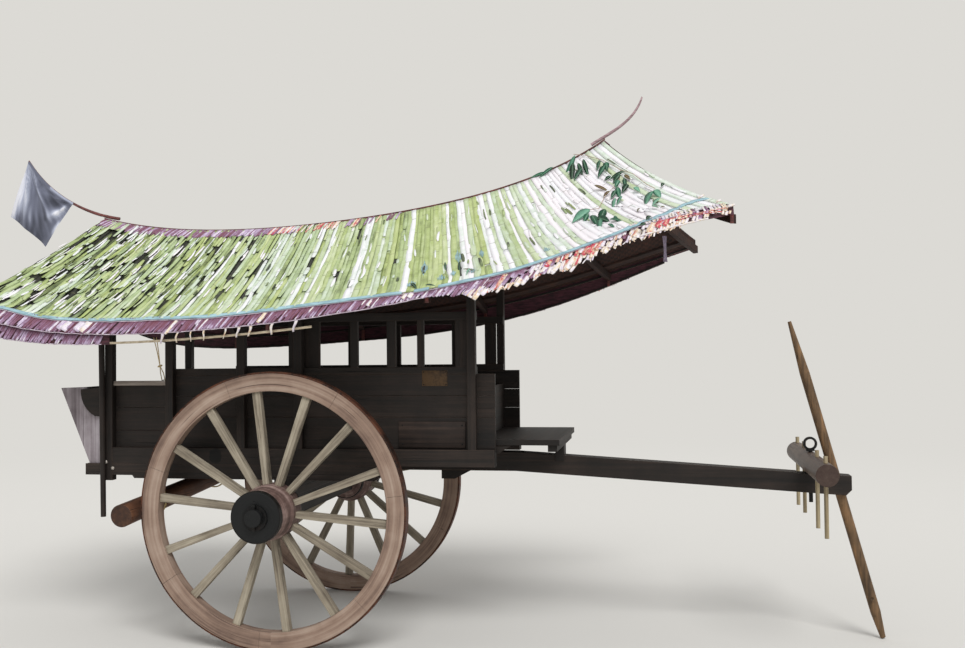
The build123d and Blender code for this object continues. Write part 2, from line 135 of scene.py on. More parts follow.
class CartColours(bpy.types.PropertyGroup):
    """The colours that a repaint would change first."""
    strip_shade: colour_setting("Strip in shade", "Deep green between the strips", "#525f46")
    strip_green: colour_setting("Strip green", "Yellow-green paint of the roof's field", "#b0c394")
    # The pale and white strip colours are bleached paint and painted highlights of glints in one
    strip_pale: colour_setting("Strip pale", "Sun-bleached green", "#d4e1d2")
    strip_white: colour_setting("Strip white", "Bleached strips near the front", "#f5f4f8")
    band_maroon: colour_setting("Band maroon", "Main colour of the eave band", "#77404c")
    band_lilac: colour_setting("Band lilac", "Faded flecks of the eave band", "#c6b2d0")
    line_blue: colour_setting("Line blue", "Painted line along the eave", "#a9ccd6")
    # Body wood is smoke-dark timber, darkened further as painted shade of the roof
    body_wood: colour_setting("Body wood", "Smoke-dark timber of the body", "#221b17")
    felloe_wood: colour_setting("Felloe wood", "Weathered wood of the rims", "#8f7869")
    spoke_wood: colour_setting("Spoke wood", "Weathered wood of the spokes", "#8c8272")
    leaf_green: colour_setting("Leaf green", "Fresh leaves on the roof", "#2f6a50")
    floor: colour_setting("Floor", "Studio floor and backdrop", "#dcdad5")


def shade(value):
    """A colour as a shader takes it, from sRGB hex or from a setting."""
    return linear(value) if isinstance(value, str) else value


def add_node(tree, kind, inputs=None, stops=None, out=0, **settings):
    """Add one shader node with its options, inputs and ramp stops, and give the output to use."""
    made = tree.nodes.new("ShaderNode" + kind)
    for name, value in settings.items():
        setattr(made, name, value)
    for name, value in (inputs or {}).items():
        if isinstance(value, bpy.types.NodeSocket):
            tree.links.new(value, made.inputs[name])
        else:
            made.inputs[name].default_value = shade(value)
    if stops:
        elements = made.color_ramp.elements
        while len(elements) < len(stops):
            elements.new(0.5)
        for element, (place, colour) in zip(elements, stops):
            element.position = place
            element.color = shade(colour)
    return made.outputs[out]


def start_material(name, **sockets):
    """A new material with constants set on its Principled shader's own sockets, and its tree."""
    material = bpy.data.materials.new(name)
    material.use_nodes = True
    for socket, value in sockets.items():
        label = socket.replace("_", " ").title().replace("Ior", "IOR")
        material.node_tree.nodes["Principled BSDF"].inputs[label].default_value = value
    return material, material.node_tree


def dress(tree, colour, roughness=None, **bump):
    """Link a colour, a roughness and a bump, given by its inputs, to the Principled shader."""
    links = {"Base Color": colour, "Roughness": roughness}
    if bump:
        links["Normal"] = add_node(tree, "Bump", {name.title(): value for name, value in bump.items()})
    for name, value in links.items():
        if value is not None:
            tree.links.new(value, tree.nodes["Principled BSDF"].inputs[name])


def paint_over(tree, share, colour, **settings):
    """Mix a colour by a share over what the Principled shader has as its base colour."""
    base = tree.nodes["Principled BSDF"].inputs["Base Color"]
    mixed = add_node(tree, "Mix", {0: share, 6: base.links[0].from_socket, 7: colour}, out=2,
                     data_type="RGBA", **settings)
    tree.links.new(mixed, base)


def streaks(tree, place, stretch, scale=1, **look):
    """Noise drawn out by a stretch along each axis; look is the noise's other inputs."""
    at = add_node(tree, "VectorMath", {0: place, 1: stretch}, operation="MULTIPLY")
    look = {name.title(): value for name, value in look.items()}
    return add_node(tree, "TexNoise", {"Vector": at, "Scale": scale, **look})


def strip_marks(tree):
    """The grain coordinates and the tint that every point of a Pile carries."""
    return (add_node(tree, "Attribute", out="Vector", attribute_name="grain"),
            add_node(tree, "Attribute", out="Fac", attribute_name="tint"))


def grain_space(tree, grain):
    """Coordinates in metres with the first one along the grain, for straight or wheel timbers."""
    place = add_node(tree, "TexCoord", out="Object")
    x, y, z = add_node(tree, "SeparateXYZ", {"Vector": place}).node.outputs
    if grain in "xyz":
        order = {"x": (x, y, z), "y": (y, x, z), "z": (z, x, y)}[grain]
    else:
        from_axle, above_axle = (add_node(tree, "Math", {0: value, 1: centre}, operation="SUBTRACT")
                                 for value, centre in ((x, WHEEL_CENTRE.x), (z, WHEEL_CENTRE.z)))
        turn = add_node(tree, "Math", {0: from_axle, 1: above_axle}, operation="ARCTAN2")
        around = add_node(tree, "Math", {0: turn, 1: WHEEL_RADIUS}, operation="MULTIPLY")
        flat = add_node(tree, "CombineXYZ", {"X": from_axle, "Y": above_axle})
        reach = add_node(tree, "VectorMath", {0: flat}, out="Value", operation="LENGTH")
        order = (around, reach, y) if grain == "around" else (reach, around, y)
    return add_node(tree, "CombineXYZ", dict(zip("XYZ", order)))


def wood(name, dark, main, pale, grain, streak=9, roughness=0.7, worn=None, wear=0.5, relief=0.5):
    """A weathered timber. Streak is the width of its grain lines in millimetres.

    Real grain is 1 to 3 mm wide. It is drawn coarser here so that it shows in the render.
    Faces cut across the grain are darker, as they soak up oil and dirt.
    """
    material, tree = start_material(name, ior=1.5, specular_ior_level=0.35)
    space = grain_space(tree, grain)
    across = 1 / (streak * MM)
    lines = streaks(tree, space, (across / 45, across, across), 0.5, detail=5, roughness=0.62)
    boards = streaks(tree, space, (1.1, 14, 14), detail=3, distortion=0.4)
    stains = add_node(tree, "TexNoise", {"Vector": space, "Scale": 6, "Detail": 6, "Roughness": 0.6})
    line_share = add_node(tree, "Math", {0: lines, 1: 0.45}, operation="MULTIPLY")
    board_share = add_node(tree, "Math", {0: boards, 1: 0.35, 2: line_share}, operation="MULTIPLY_ADD")
    tone = add_node(tree, "Math", {0: stains, 1: 0.3, 2: board_share}, operation="MULTIPLY_ADD")
    colour = add_node(tree, "ValToRGB", {"Fac": tone}, stops=((0.40, dark), (0.55, main), (0.70, pale)))
    cracks = streaks(tree, space, (1.6, 95, 95), detail=2)
    open_cracks = add_node(tree, "MapRange", {"Value": cracks, "From Min": 0.66, "From Max": 0.72})
    edge_normal = add_node(tree, "Bevel", {"Radius": 0.006}, samples=4)
    true_normal = add_node(tree, "NewGeometry", out="Normal")
    facing = add_node(tree, "VectorMath", {0: edge_normal, 1: true_normal}, out="Value",
                      operation="DOT_PRODUCT")
    edges = add_node(tree, "MapRange", {"Value": facing, "From Min": 0.99, "From Max": 0.82,
                                        "To Max": wear})
    rubbed = add_node(tree, "Math", {0: edges, 1: stains}, operation="MULTIPLY")
    rough = add_node(tree, "MapRange", {"Value": lines, "To Min": roughness - 0.12,
                                        "To Max": roughness + 0.15})
    height = add_node(tree, "Math", {0: open_cracks, 1: -1.2, 2: lines}, operation="MULTIPLY_ADD")
    dress(tree, colour, rough, height=height, strength=relief, distance=0.004, normal=edge_normal)
    paint_over(tree, open_cracks, dark)
    paint_over(tree, rubbed, worn or pale)
    if grain in "xyz":
        along = add_node(tree, "SeparateXYZ", {"Vector": true_normal}, out=grain.upper())
        facing_along = add_node(tree, "Math", {0: along}, operation="ABSOLUTE")
        cut = add_node(tree, "MapRange", {"Value": facing_along, "From Min": 0.8, "From Max": 0.93,
                                          "To Max": 0.7})
        paint_over(tree, cut, dark)
    return material


def body_timber(colours, grain, name):
    """Hardwood, sawn and hand planed, dark with smoke and oil and darkened further as painted shade of the
    roof: near black with a dull sheen.
    """
    return wood(name, "#0f0c0a", colours.body_wood, "#352a24", grain, roughness=0.62,
                worn="#57453a", wear=0.9, relief=0.45)


def grease_ends(material):
    """Black axle grease over whatever lies outside the wheels' faces."""
    tree = material.node_tree
    place = add_node(tree, "TexCoord", out="Object")
    y = add_node(tree, "SeparateXYZ", {"Vector": place}, out="Y")
    outward = add_node(tree, "Math", {0: y}, operation="ABSOLUTE")
    smears = add_node(tree, "TexNoise", {"Vector": place, "Scale": 16, "Detail": 4})
    edge = add_node(tree, "Math", {0: smears, 1: 0.05, 2: outward}, operation="MULTIPLY_ADD")
    nave_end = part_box("nave_left")[1].y
    grease = add_node(tree, "MapRange", {"Value": edge, "From Min": nave_end - 0.022,
                                         "From Max": nave_end + 0.004})
    paint_over(tree, grease, "#0b0d0e")
    return material


def darken_inward_faces(material):
    """Near black on the faces that look in under the roof."""
    tree = material.node_tree
    y, facing_y = (add_node(tree, "SeparateXYZ", {"Vector": add_node(tree, kind, out=out)}, out="Y")
                   for kind, out in (("TexCoord", "Object"), ("NewGeometry", "Normal")))
    outward = add_node(tree, "Math", {0: y, 1: facing_y}, operation="MULTIPLY")
    inward_dark = add_node(tree, "MapRange", {"Value": outward, "From Min": 0.05, "From Max": -0.1})
    paint_over(tree, inward_dark, "#1a1412")
    return material


def rot_hole(material, centre, size):
    """A rotted pocket in a timber of the near side, painted near black for the dark rot and the painted shade
    of its hollow.
    """
    tree = material.node_tree
    place = add_node(tree, "TexCoord", out="Object")
    crumble = add_node(tree, "TexNoise", {"Vector": place, "Scale": 30, "Detail": 3})
    offset = add_node(tree, "VectorMath", {0: place, 1: centre}, operation="SUBTRACT")
    squeezed = add_node(tree, "VectorMath", {0: offset, 1: (1.3, 1.0, 0.9)}, operation="MULTIPLY")
    away = add_node(tree, "VectorMath", {0: squeezed}, out="Value", operation="LENGTH")
    ragged = add_node(tree, "Math", {0: crumble, 1: size * 0.8, 2: away}, operation="MULTIPLY_ADD")
    pocket = add_node(tree, "MapRange", {"Value": ragged, "From Min": size * 1.45,
                                         "From Max": size * 1.3})
    paint_over(tree, pocket, "#040404")


def painted_strips(colours):
    """Bamboo, split and lacquered: thin glossy paint over fibres, chalky and bleached by the sun. Its darkest
    tints are painted shade and its whitest partly painted highlights.
    """
    material, tree = start_material("bamboo_split_lacquered", ior=1.5, specular_ior_level=0.5)
    grain, tint = strip_marks(tree)
    fibres = streaks(tree, grain, (5, 260, 40), detail=3, roughness=0.6)
    patches = streaks(tree, grain, (9, 30, 40), detail=4, roughness=0.7)
    # A noise is about one half on average, so half of each noise's weight is taken off
    lowered = add_node(tree, "Math", {0: tint, 1: 0.55}, operation="SUBTRACT")
    fibrous = add_node(tree, "Math", {0: fibres, 1: 0.5, 2: lowered}, operation="MULTIPLY_ADD")
    tone = add_node(tree, "Math", {0: patches, 1: 0.6, 2: fibrous}, operation="MULTIPLY_ADD")
    # The two darkest stops are painted shade in the holes and between the strips; the pale and white stops
    # serve both as bleached paint and as painted glints
    colour = add_node(tree, "ValToRGB", {"Fac": tone}, stops=(
        (0.0, "#1f221b"), (0.1, colours.strip_shade), (0.36, colours.strip_green),
        (0.62, colours.strip_pale), (0.84, colours.strip_white), (1.0, "#f7f1f5")))
    gloss = add_node(tree, "MapRange", {"Value": fibres, "To Min": 0.32, "To Max": 0.62})
    dress(tree, colour, gloss, height=fibres, strength=0.35, distance=0.002)
    along, _, seed = add_node(tree, "SeparateXYZ", {"Vector": grain}).node.outputs
    # The paint was mixed by hand, so some green strips are yellower than others
    batch = add_node(tree, "TexWhiteNoise", {"W": seed}, out="Value", noise_dimensions="1D")
    still_green = add_node(tree, "MapRange", {"Value": tint, "From Min": 0.68, "From Max": 0.5})
    yellowed = add_node(tree, "Math", {0: batch, 1: still_green}, operation="MULTIPLY")
    paint_over(tree, yellowed, "#f6f2bd", blend_type="MULTIPLY")
    shifted = add_node(tree, "Math", {0: seed, 1: 0.37, 2: along}, operation="MULTIPLY_ADD")
    joints_at = add_node(tree, "Math", {0: shifted, 1: 0.27}, operation="PINGPONG")
    joints = add_node(tree, "MapRange", {"Value": joints_at, "From Min": 0.006, "From Max": 0.001,
                                         "To Max": 0.55})
    paint_over(tree, joints, "#6c6a4a")
    dirt = add_node(tree, "MapRange", {"Value": patches, "From Min": 0.34, "From Max": 0.27, "To Max": 0.5})
    paint_over(tree, dirt, "#4b4a33")
    return material


def band_strips(colours):
    """Split cane, dyed and woven short: matt dye that fades from maroon to lilac and white."""
    material, tree = start_material("cane_dyed_woven", roughness=0.6, ior=1.5)
    grain, tint = strip_marks(tree)
    fibres = streaks(tree, grain, (40, 420, 40), detail=3, roughness=0.6)
    lowered = add_node(tree, "Math", {0: tint, 1: 0.25}, operation="SUBTRACT")
    tone = add_node(tree, "Math", {0: fibres, 1: 0.5, 2: lowered}, operation="MULTIPLY_ADD")
    colour = add_node(tree, "ValToRGB", {"Fac": tone}, stops=(
        (0.0, "#321a22"), (0.25, colours.band_maroon), (0.5, "#8b6480"), (0.68, colours.band_lilac),
        (0.82, "#f3eef3"), (0.90, "#ead7b4"), (1.0, "#c9455a")))
    dress(tree, colour, height=fibres, strength=0.3, distance=0.002)
    return material


def roof_mat():
    """Palm leaf mat, woven and smoked: dull red-brown weave with dark sunken crossings."""
    material, tree = start_material("palm_leaf_woven_smoked", roughness=0.85, ior=1.45)
    place = add_node(tree, "TexCoord", out="Object")
    leaf_width = 22 * MM
    weave_at = add_node(tree, "VectorMath", {0: place, 1: (1 / leaf_width, 1 / leaf_width, 0)},
                        operation="MULTIPLY")
    weave = add_node(tree, "TexChecker", {"Vector": weave_at, "Scale": 1}, out="Fac")
    stains = add_node(tree, "TexNoise", {"Vector": place, "Scale": 7, "Detail": 6, "Roughness": 0.65})
    threads = streaks(tree, place, (170, 12, 12), detail=2)
    stained = add_node(tree, "Math", {0: stains, 1: 0.5}, operation="MULTIPLY")
    tone = add_node(tree, "Math", {0: threads, 1: 0.45, 2: stained}, operation="MULTIPLY_ADD")
    colour = add_node(tree, "ValToRGB", {"Fac": tone}, stops=(
        (0.30, "#100a08"), (0.48, "#2e1811"), (0.66, "#4a281d")))
    height = add_node(tree, "Math", {0: weave, 1: threads}, operation="ADD")
    dress(tree, colour, height=height, strength=0.6, distance=0.003)
    crossings = add_node(tree, "ValToRGB", {"Fac": weave}, stops=((0.0, "#150d0a"), (1.0, "#44261a")))
    paint_over(tree, 0.35, crossings)
    return material


def plain_fibre(name, dark, pale, pitch, roughness=0.75):
    """Cane, cord or paint with fine fibres; pitch is the fibres' width in millimetres."""
    material, tree = start_material(name, roughness=roughness, ior=1.5)
    place = add_node(tree, "TexCoord", out="Object")
    fine = 1 / (pitch * MM)
    fibres = streaks(tree, place, (fine / 6, fine, fine), 0.6, detail=4, roughness=0.65)
    colour = add_node(tree, "ValToRGB", {"Fac": fibres}, stops=((0.34, dark), (0.62, pale)))
    dress(tree, colour, height=fibres, strength=0.4, distance=0.002)
    return material


def forged_iron(name, dark, rust, share, roughness=0.55):
    """Wrought iron, forged and rusted: dark scale with rust in 12 mm pits and a rubbed sheen."""
    pit_size = 12 * MM
    material, tree = start_material(name, metallic=0.55)
    place = add_node(tree, "TexCoord", out="Object")
    pits = add_node(tree, "TexNoise", {"Vector": place, "Scale": 1 / pit_size, "Detail": 6,
                                       "Roughness": 0.7})
    spread = add_node(tree, "TexNoise", {"Vector": place, "Scale": 9, "Detail": 4})
    patchy = add_node(tree, "Math", {0: spread, 1: 0.5}, operation="MULTIPLY")
    rusty = add_node(tree, "Math", {0: pits, 1: 0.5, 2: patchy}, operation="MULTIPLY_ADD")
    colour = add_node(tree, "ValToRGB", {"Fac": rusty}, stops=((share - 0.09, dark), (share + 0.09, rust)))
    rough = add_node(tree, "MapRange", {"Value": rusty, "From Min": 0.3, "From Max": 0.7,
                                        "To Min": roughness - 0.15, "To Max": roughness + 0.25})
    dress(tree, colour, rough, height=pits, strength=0.45, distance=0.002)
    return material


def flag_cloth():
    """Cotton, plain woven and sun-worn: thin, bluish white and half see-through against the light."""
    material, tree = start_material("cotton_plain_woven", roughness=0.85, sheen_weight=0.25,
                                    sheen_roughness=0.4)
    # Threads are drawn 3 mm wide, coarser than real ones, so that they show
    fine = 1 / (3 * MM)
    threads = streaks(tree, add_node(tree, "TexCoord", out="Object"), (fine, 0, fine), detail=2)
    tint = add_node(tree, "Attribute", out="Fac", attribute_name="tint")
    tone = add_node(tree, "Math", {0: threads, 1: 0.16, 2: tint}, operation="MULTIPLY_ADD")
    # The darker stops carry the painted shade that the tint puts in the folds' valleys, and the whitest
    # carries painted light on their ridges
    colour = add_node(tree, "ValToRGB", {"Fac": tone}, stops=(
        (0.1, "#484b58"), (0.45, "#75798b"), (0.75, "#b2b8cb"), (1.0, "#f1f2fa")))
    through = add_node(tree, "BsdfTranslucent", {"Color": colour})
    both = add_node(tree, "MixShader", {0: 0.12, 1: tree.nodes["Principled BSDF"].outputs[0], 2: through})
    tree.links.new(both, tree.nodes["Material Output"].inputs["Surface"])
    dress(tree, colour, height=threads, strength=0.15, distance=0.001)
    return material


def leaf_finish(colours):
    """Fresh leaf, waxy: dark blue-green with a pale midrib and a soft shine."""
    material, tree = start_material("leaf_fresh_waxy", roughness=0.38, ior=1.45)
    grain, tint = strip_marks(tree)
    mottle = add_node(tree, "TexNoise", {"Vector": grain, "Scale": 60, "Detail": 3})
    tone = add_node(tree, "Math", {0: mottle, 1: 0.35, 2: tint}, operation="MULTIPLY_ADD")
    # Its darkest stop and its pale stop also give whole leaves painted shade and painted highlights
    colour = add_node(tree, "ValToRGB", {"Fac": tone}, stops=(
        (0.1, "#16301f"), (0.45, colours.leaf_green), (0.8, "#7fb79c"), (1.0, "#6b4a26")))
    dress(tree, colour)
    across = add_node(tree, "SeparateXYZ", {"Vector": grain}, out="Y")
    off_rib = add_node(tree, "Math", {0: across}, operation="ABSOLUTE")
    rib = add_node(tree, "MapRange", {"Value": off_rib, "From Min": 0.0016, "From Max": 0.0004,
                                      "To Max": 0.6})
    paint_over(tree, rib, "#8fb896")
    return material


def make_piece(name, points, faces, material, body, slot, **marks):
    """A smooth mesh that rides on a body; marks are values kept at its points."""
    mesh = bpy.data.meshes.new(name)
    mesh.from_pydata([tuple(point) for point in points], [], faces)
    for mark, values in marks.items():
        values = np.array(values, np.float32)
        kind, field = ("FLOAT_VECTOR", "vector") if values.ndim == 2 else ("FLOAT", "value")
        mesh.attributes.new(mark, kind, "POINT").data.foreach_set(field, values.ravel())
    mesh.materials.append(material)
    mesh.shade_smooth()
    mesh.update()
    piece = bpy.data.objects.new(name, mesh)
    bpy.context.scene.collection.objects.link(piece)
    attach(piece, body)
    return piece


def grid_faces(rows, columns):
    """The faces of a sheet whose points are laid row by row."""
    wide = columns + 1
    return [(k, k + 1, k + wide + 1, k + wide)
            for j in range(rows) for k in range(j * wide, j * wide + columns)]


def line_length(line):
    return sum((b - a).length for a, b in zip(line, line[1:]))


def circle(sides):
    """The cosine and sine of even steps round a circle."""
    return [(math.cos(a), math.sin(a)) for a in (2 * math.pi * i / sides for i in range(sides))]


def wobble(*place):
    """Smooth noise from -1 to 1 at three coordinates."""
    return noise.noise(Vector(place))


def between(value, places, results):
    """The result for a value, in a straight line from each place to the next."""
    return float(np.interp(value, places, results))


def pointing(direction, toward):
    """A direction at unit length, turned about if it points away from another."""
    return direction.normalized() * (-1 if direction.dot(toward) < 0 else 1)


class Pile:
    """Many small bodies gathered into one mesh, with a grain and a tint at every point."""

    def __init__(self):
        self.points = []
        self.faces = []
        self.grain = []
        self.tint = []

    def add_rings(self, rings, tint, seed=0.0, closed=False, fade=0.0):
        """Join rings of points into a skin, with both ends capped unless it closes on itself.

        The tint changes by fade from the first ring to the last.
        """
        first = len(self.points)
        count = len(rings[0])
        along = 0.0
        last_middle = sum(rings[0], Vector()) / count
        for i, ring in enumerate(rings):
            middle = sum(ring, Vector()) / count
            along += (middle - last_middle).length
            last_middle = middle
            half = (ring[0] - ring[count // 2]).length / 2
            for j, point in enumerate(ring):
                across = half * math.cos(2 * math.pi * j / count)
                self.points.append(point)
                self.grain.append((along, across, seed))
                self.tint.append(tint + fade * (i / max(1, len(rings) - 1)) ** 2)
        total = len(rings)
        for i in range(total if closed else total - 1):
            here = first + i * count
            there = first + (i + 1) % total * count
            for j in range(count):
                k = (j + 1) % count
                self.faces.append((here + j, here + k, there + k, there + j))
        if not closed:
            self.faces.append(tuple(first + j for j in reversed(range(count))))
            self.faces.append(tuple(first + (total - 1) * count + j for j in range(count)))

    def make(self, name, material, body, slot):
        return make_piece(name, self.points, self.faces, material, body, slot, grain=self.grain,
                          tint=self.tint)


def strip_section(centre, side, normal, width, thickness, crown):
    """One section of a split strip: a crowned top and a flat back."""
    half = side * (width / 2)
    return [centre - half, centre - half + normal * thickness,
            centre + normal * (thickness + crown),
            centre + half + normal * thickness, centre + half]


def path_frames(path, closed, reference=None):
    """Each place of a path with the two directions across it."""
    total = len(path)
    for i, place in enumerate(path):
        before = path[i - 1] if closed or i else place
        after = path[(i + 1) % total] if closed or i + 1 < total else place
        along = (after - before).normalized()
        level = reference or Vector((0, 1, 0) if abs(along.y) < 0.9 else (0, 0, 1))
        side = level.cross(along).normalized()
        yield place, side, along.cross(side)


def tube_rings(path, radius, sides, reference=UP, closed=False):
    """Round sections along a path."""
    return [[place + (side * c + up * s) * radius for c, s in circle(sides)]
            for place, side, up in path_frames(path, closed, reference)]


def camera_axes():
    """The camera's right, up and ahead directions in the photograph."""
    ahead = Vector((math.sin(CAMERA_YAW) * math.cos(CAMERA_PITCH),
                    math.cos(CAMERA_YAW) * math.cos(CAMERA_PITCH), math.sin(CAMERA_PITCH)))
    level = Vector((math.cos(CAMERA_YAW), -math.sin(CAMERA_YAW), 0))
    upright = level.cross(ahead)
    right = level * math.cos(CAMERA_ROLL) + upright * math.sin(CAMERA_ROLL)
    up = upright * math.cos(CAMERA_ROLL) - level * math.sin(CAMERA_ROLL)
    return right, up, ahead


def sight_line(column, row):
    """The direction in which the camera sees a pixel of the photograph."""
    right, up, ahead = camera_axes()
    off_column = (column - PHOTO_SIZE[0] / 2) / FOCAL_PIXELS
    off_row = (PHOTO_SIZE[1] / 2 - row) / FOCAL_PIXELS
    return (ahead + right * off_column + up * off_row).normalized()


def at_pixel(column, row, y):
    """The place at distance y across the cart that the photograph shows at a pixel."""
    sight = sight_line(column, row)
    return CAMERA_PLACE + sight * ((y - CAMERA_PLACE.y) / sight.y)


def seen_at(place):
    """The photograph's pixel column and row where a place is seen."""
    right, up, ahead = camera_axes()
    seen = place - CAMERA_PLACE
    depth = seen.dot(ahead)
    return (PHOTO_SIZE[0] / 2 + FOCAL_PIXELS * seen.dot(right) / depth,
            PHOTO_SIZE[1] / 2 - FOCAL_PIXELS * seen.dot(up) / depth)


def seen_on(skin, column, row):
    """Where the photograph shows a pixel of the roof's faces, if it does, and a pixel's size there."""
    place = skin.ray_cast(CAMERA_PLACE, sight_line(column, row))[0]
    return place, place and (place - CAMERA_PLACE).length / FOCAL_PIXELS


def node_tree(*names):
    """The faces of CAD nodes, to cast rays on."""
    points = []
    faces = []
    for name in names:
        mesh = NODES[name].data
        faces += [tuple(i + len(points) for i in face.vertices) for face in mesh.polygons]
        points += [vertex.co for vertex in mesh.vertices]
    return BVHTree.FromPolygons(points, faces)


class RoofSide:
    """The upper face of one side of the roof as a smooth grid of points.

    A place on it is (run, fall): run goes from the rear strip at 0 to the front one at 1, and
    fall from the ridge at 0 to the eave at 1.
    """
    RUNS = 121
    FALLS = 33
    # How far the eave ends of the strips swing back from an even spacing, most near the front
    SWING = 1.85

    def __init__(self, side):
        self.outward = -1 if side == "right" else 1
        low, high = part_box(f"roof_skin_{side}")
        ridge_low, ridge_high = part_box("ridge_pole")
        self.length = high.x - low.x
        self.half_width = high.y - low.y
        tree = node_tree(f"roof_skin_{side}")
        inset = 0.0015
        self.grid = np.zeros((self.RUNS, self.FALLS, 3))
        for i in range(self.RUNS):
            run = inset + (1 - 2 * inset) * i / (self.RUNS - 1)
            ridge_x = ridge_low.x + (ridge_high.x - ridge_low.x) * run
            eave_x = low.x + (high.x - low.x) * run - self.SWING * run ** 3 * (1 - run)
            for j in range(self.FALLS):
                fall = inset + (1 - 2 * inset) * j / (self.FALLS - 1)
                above = Vector((ridge_x + (eave_x - ridge_x) * fall,
                                self.outward * self.half_width * fall, high.z + 1))
                hit = tree.ray_cast(above, -UP)[0]
                self.grid[i, j] = hit or tree.find_nearest(above - UP * 1.2)[0]
        for _ in range(3):
            z = self.grid[:, :, 2]
            z[1:-1] = (z[:-2] + 2 * z[1:-1] + z[2:]) / 4
            z[:, 1:-1] = (z[:, :-2] + 2 * z[:, 1:-1] + z[:, 2:]) / 4

    def point(self, run, fall):
        u = min(max(run, 0.0), 1.0) * (self.RUNS - 1)
        v = min(max(fall, 0.0), 1.0) * (self.FALLS - 1)
        i = min(int(u), self.RUNS - 2)
        j = min(int(v), self.FALLS - 2)
        u -= i
        v -= j
        rear, front = self.grid[i:i + 2, j:j + 2]
        upper, lower = rear * (1 - u) + front * u
        return Vector(upper * (1 - v) + lower * v)

    def locate(self, place):
        """The run and fall of the grid point nearest to a place."""
        away = ((self.grid - np.array(place)) ** 2).sum(axis=2)
        i, j = np.unravel_index(away.argmin(), away.shape)
        return i / (self.RUNS - 1), j / (self.FALLS - 1)

    def axes(self, run, fall):
        """The place, the way down the slope, the way forward across the strips, and the normal."""
        step = 0.02
        down = (self.point(run, fall + step) - self.point(run, fall - step)).normalized()
        forward = (self.point(run + step, fall) - self.point(run - step, fall)).normalized()
        normal = pointing(forward.cross(down), UP)
        return self.point(run, fall), down, pointing(down.cross(normal), FORWARD), normal


def tatter_at(run):
    """How tattered the roof is along its run: worst at the rear."""
    return between(run, (0, 0.12, 0.3, 0.5, 0.8, 1), (1, 0.95, 0.42, 0.18, 0.12, 0.3))


def tint_at(run):
    """How bleached the strips are along the rear of the run."""
    return between(run, (0, 0.25, 0.42), (0.36, 0.43, 0.50))


def lay_strip(pile, roof, run, start, end, width, lift, tint, seed, torn=(False, False), twist=0.1,
              wave=0.004, drape=None):
    """Lay one length of split strip on the roof between two falls.

    Drape is the eave and its table of line drops, for a strip that hangs over the edge to the line.
    """
    settings = bpy.context.scene.cart_roof
    steps = max(3, int((end - start) * 26))
    crown = settings.strip_crown * between(run, (0.35, 0.75), (1, 0.3))
    rings = []
    for i in range(steps + 1):
        fall = start + (end - start) * i / steps
        place, down, across, normal = roof.axes(run, fall)
        wander = wobble(fall * 5, seed * 7.3, 0.5)
        rise = wobble(fall * 9, seed * 3.1, 9.5)
        turn = twist * wobble(fall * 7, seed * 5.7, 4.5)
        taper = 1.0
        curl = 0.0
        for is_torn, share in zip(torn, (fall - start, end - fall)):
            if is_torn:
                away = share * roof.half_width
                taper = min(taper, 0.6 + 0.4 * min(1, away / 0.025))
                curl += 0.007 * tatter_at(run) * math.exp(-away / 0.05)
        cap = 0.005 * math.exp(-(fall / 0.055) ** 2)
        height = lift + cap + curl + abs(rise) * 0.003 * (1 + 2 * tatter_at(run))
        side = (across * math.cos(turn) + normal * math.sin(turn)).normalized()
        up = normal * math.cos(turn) - across * math.sin(turn)
        spread = 0.76 + 0.24 * fall
        rings.append(strip_section(place + normal * height + across * wander * wave, side, up,
                                   width * spread * taper, settings.strip_thickness, crown))
    if drape:
        eave, stations, drops = drape
        final = between(place.x, stations, drops)
        near_place, near_down = (Vector((v.x, -abs(v.y), v.z)) for v in (place, down))
        column, row = seen_at(near_place)
        next_column, next_row = seen_at(near_place + near_down * 0.03)
        lean = (next_column - column) / (next_row - row)
        for share in (0.08, 0.5, 1.0):
            if final > 0.02:
                fallen = place.z - eave.point(0, place.x, final * share).z
                x = place.x + lean * fallen
                out = eave.normal(0, x, max(0.1, final * share))
                rings.append(strip_section(eave.point(0, x, final * share) + out * (lift + 0.002),
                                           across, out, width, settings.strip_thickness, crown))
    pile.add_rings(rings, tint, seed)


# Holes worn in the near roof: pixel column and row, then length down the slope and width in pixels
HOLES = (
    (102, 239, 18, 8), (87, 244, 12, 5), (125, 242, 8, 6), (143, 261, 14, 6), (152, 259, 12, 7),
    (95, 270, 10, 6), (61, 277, 13, 8), (176, 257, 26, 5), (122, 279, 11, 9), (99, 284, 9, 5),
    (70, 297, 9, 7), (35, 295, 11, 7), (151, 291, 10, 5), (137, 309, 7, 7), (163, 306, 11, 6),
    (247, 256, 24, 6), (236, 273, 16, 5), (261, 269, 13, 5), (224, 265, 13, 4), (311, 265, 11, 5),
    (221, 296, 12, 6), (247, 296, 9, 5), (360, 237, 9, 5), (445, 271, 9, 4), (460, 270, 13, 5),
    (186, 240, 10, 4), (205, 283, 9, 4), (290, 285, 10, 4), (337, 279, 8, 4), (393, 262, 8, 4),
)
# Patches of spilt blue paint on the near roof: the same four values
PAINT_PATCHES = (
    (426, 271, 16, 6), (458, 260, 16, 5), (483, 256, 10, 4), (412, 286, 8, 8), (440, 281, 9, 6),
    (452, 276, 7, 5), (470, 274, 6, 5), (548, 252, 8, 4),
)
# How far the layers of strips lie off the roof, in metres: the dark strips of painted shade in holes, the
# field, loose bits
HOLE_LIFT, FIELD_LIFT, LOOSE_LIFTS = 0.0042, 0.0058, (0.009, 0.012)
# From this share of the roof's length forward the strips are green, pale and white by turns; the pale and
# white ones are partly painted highlights
MIXED_FROM = 0.42


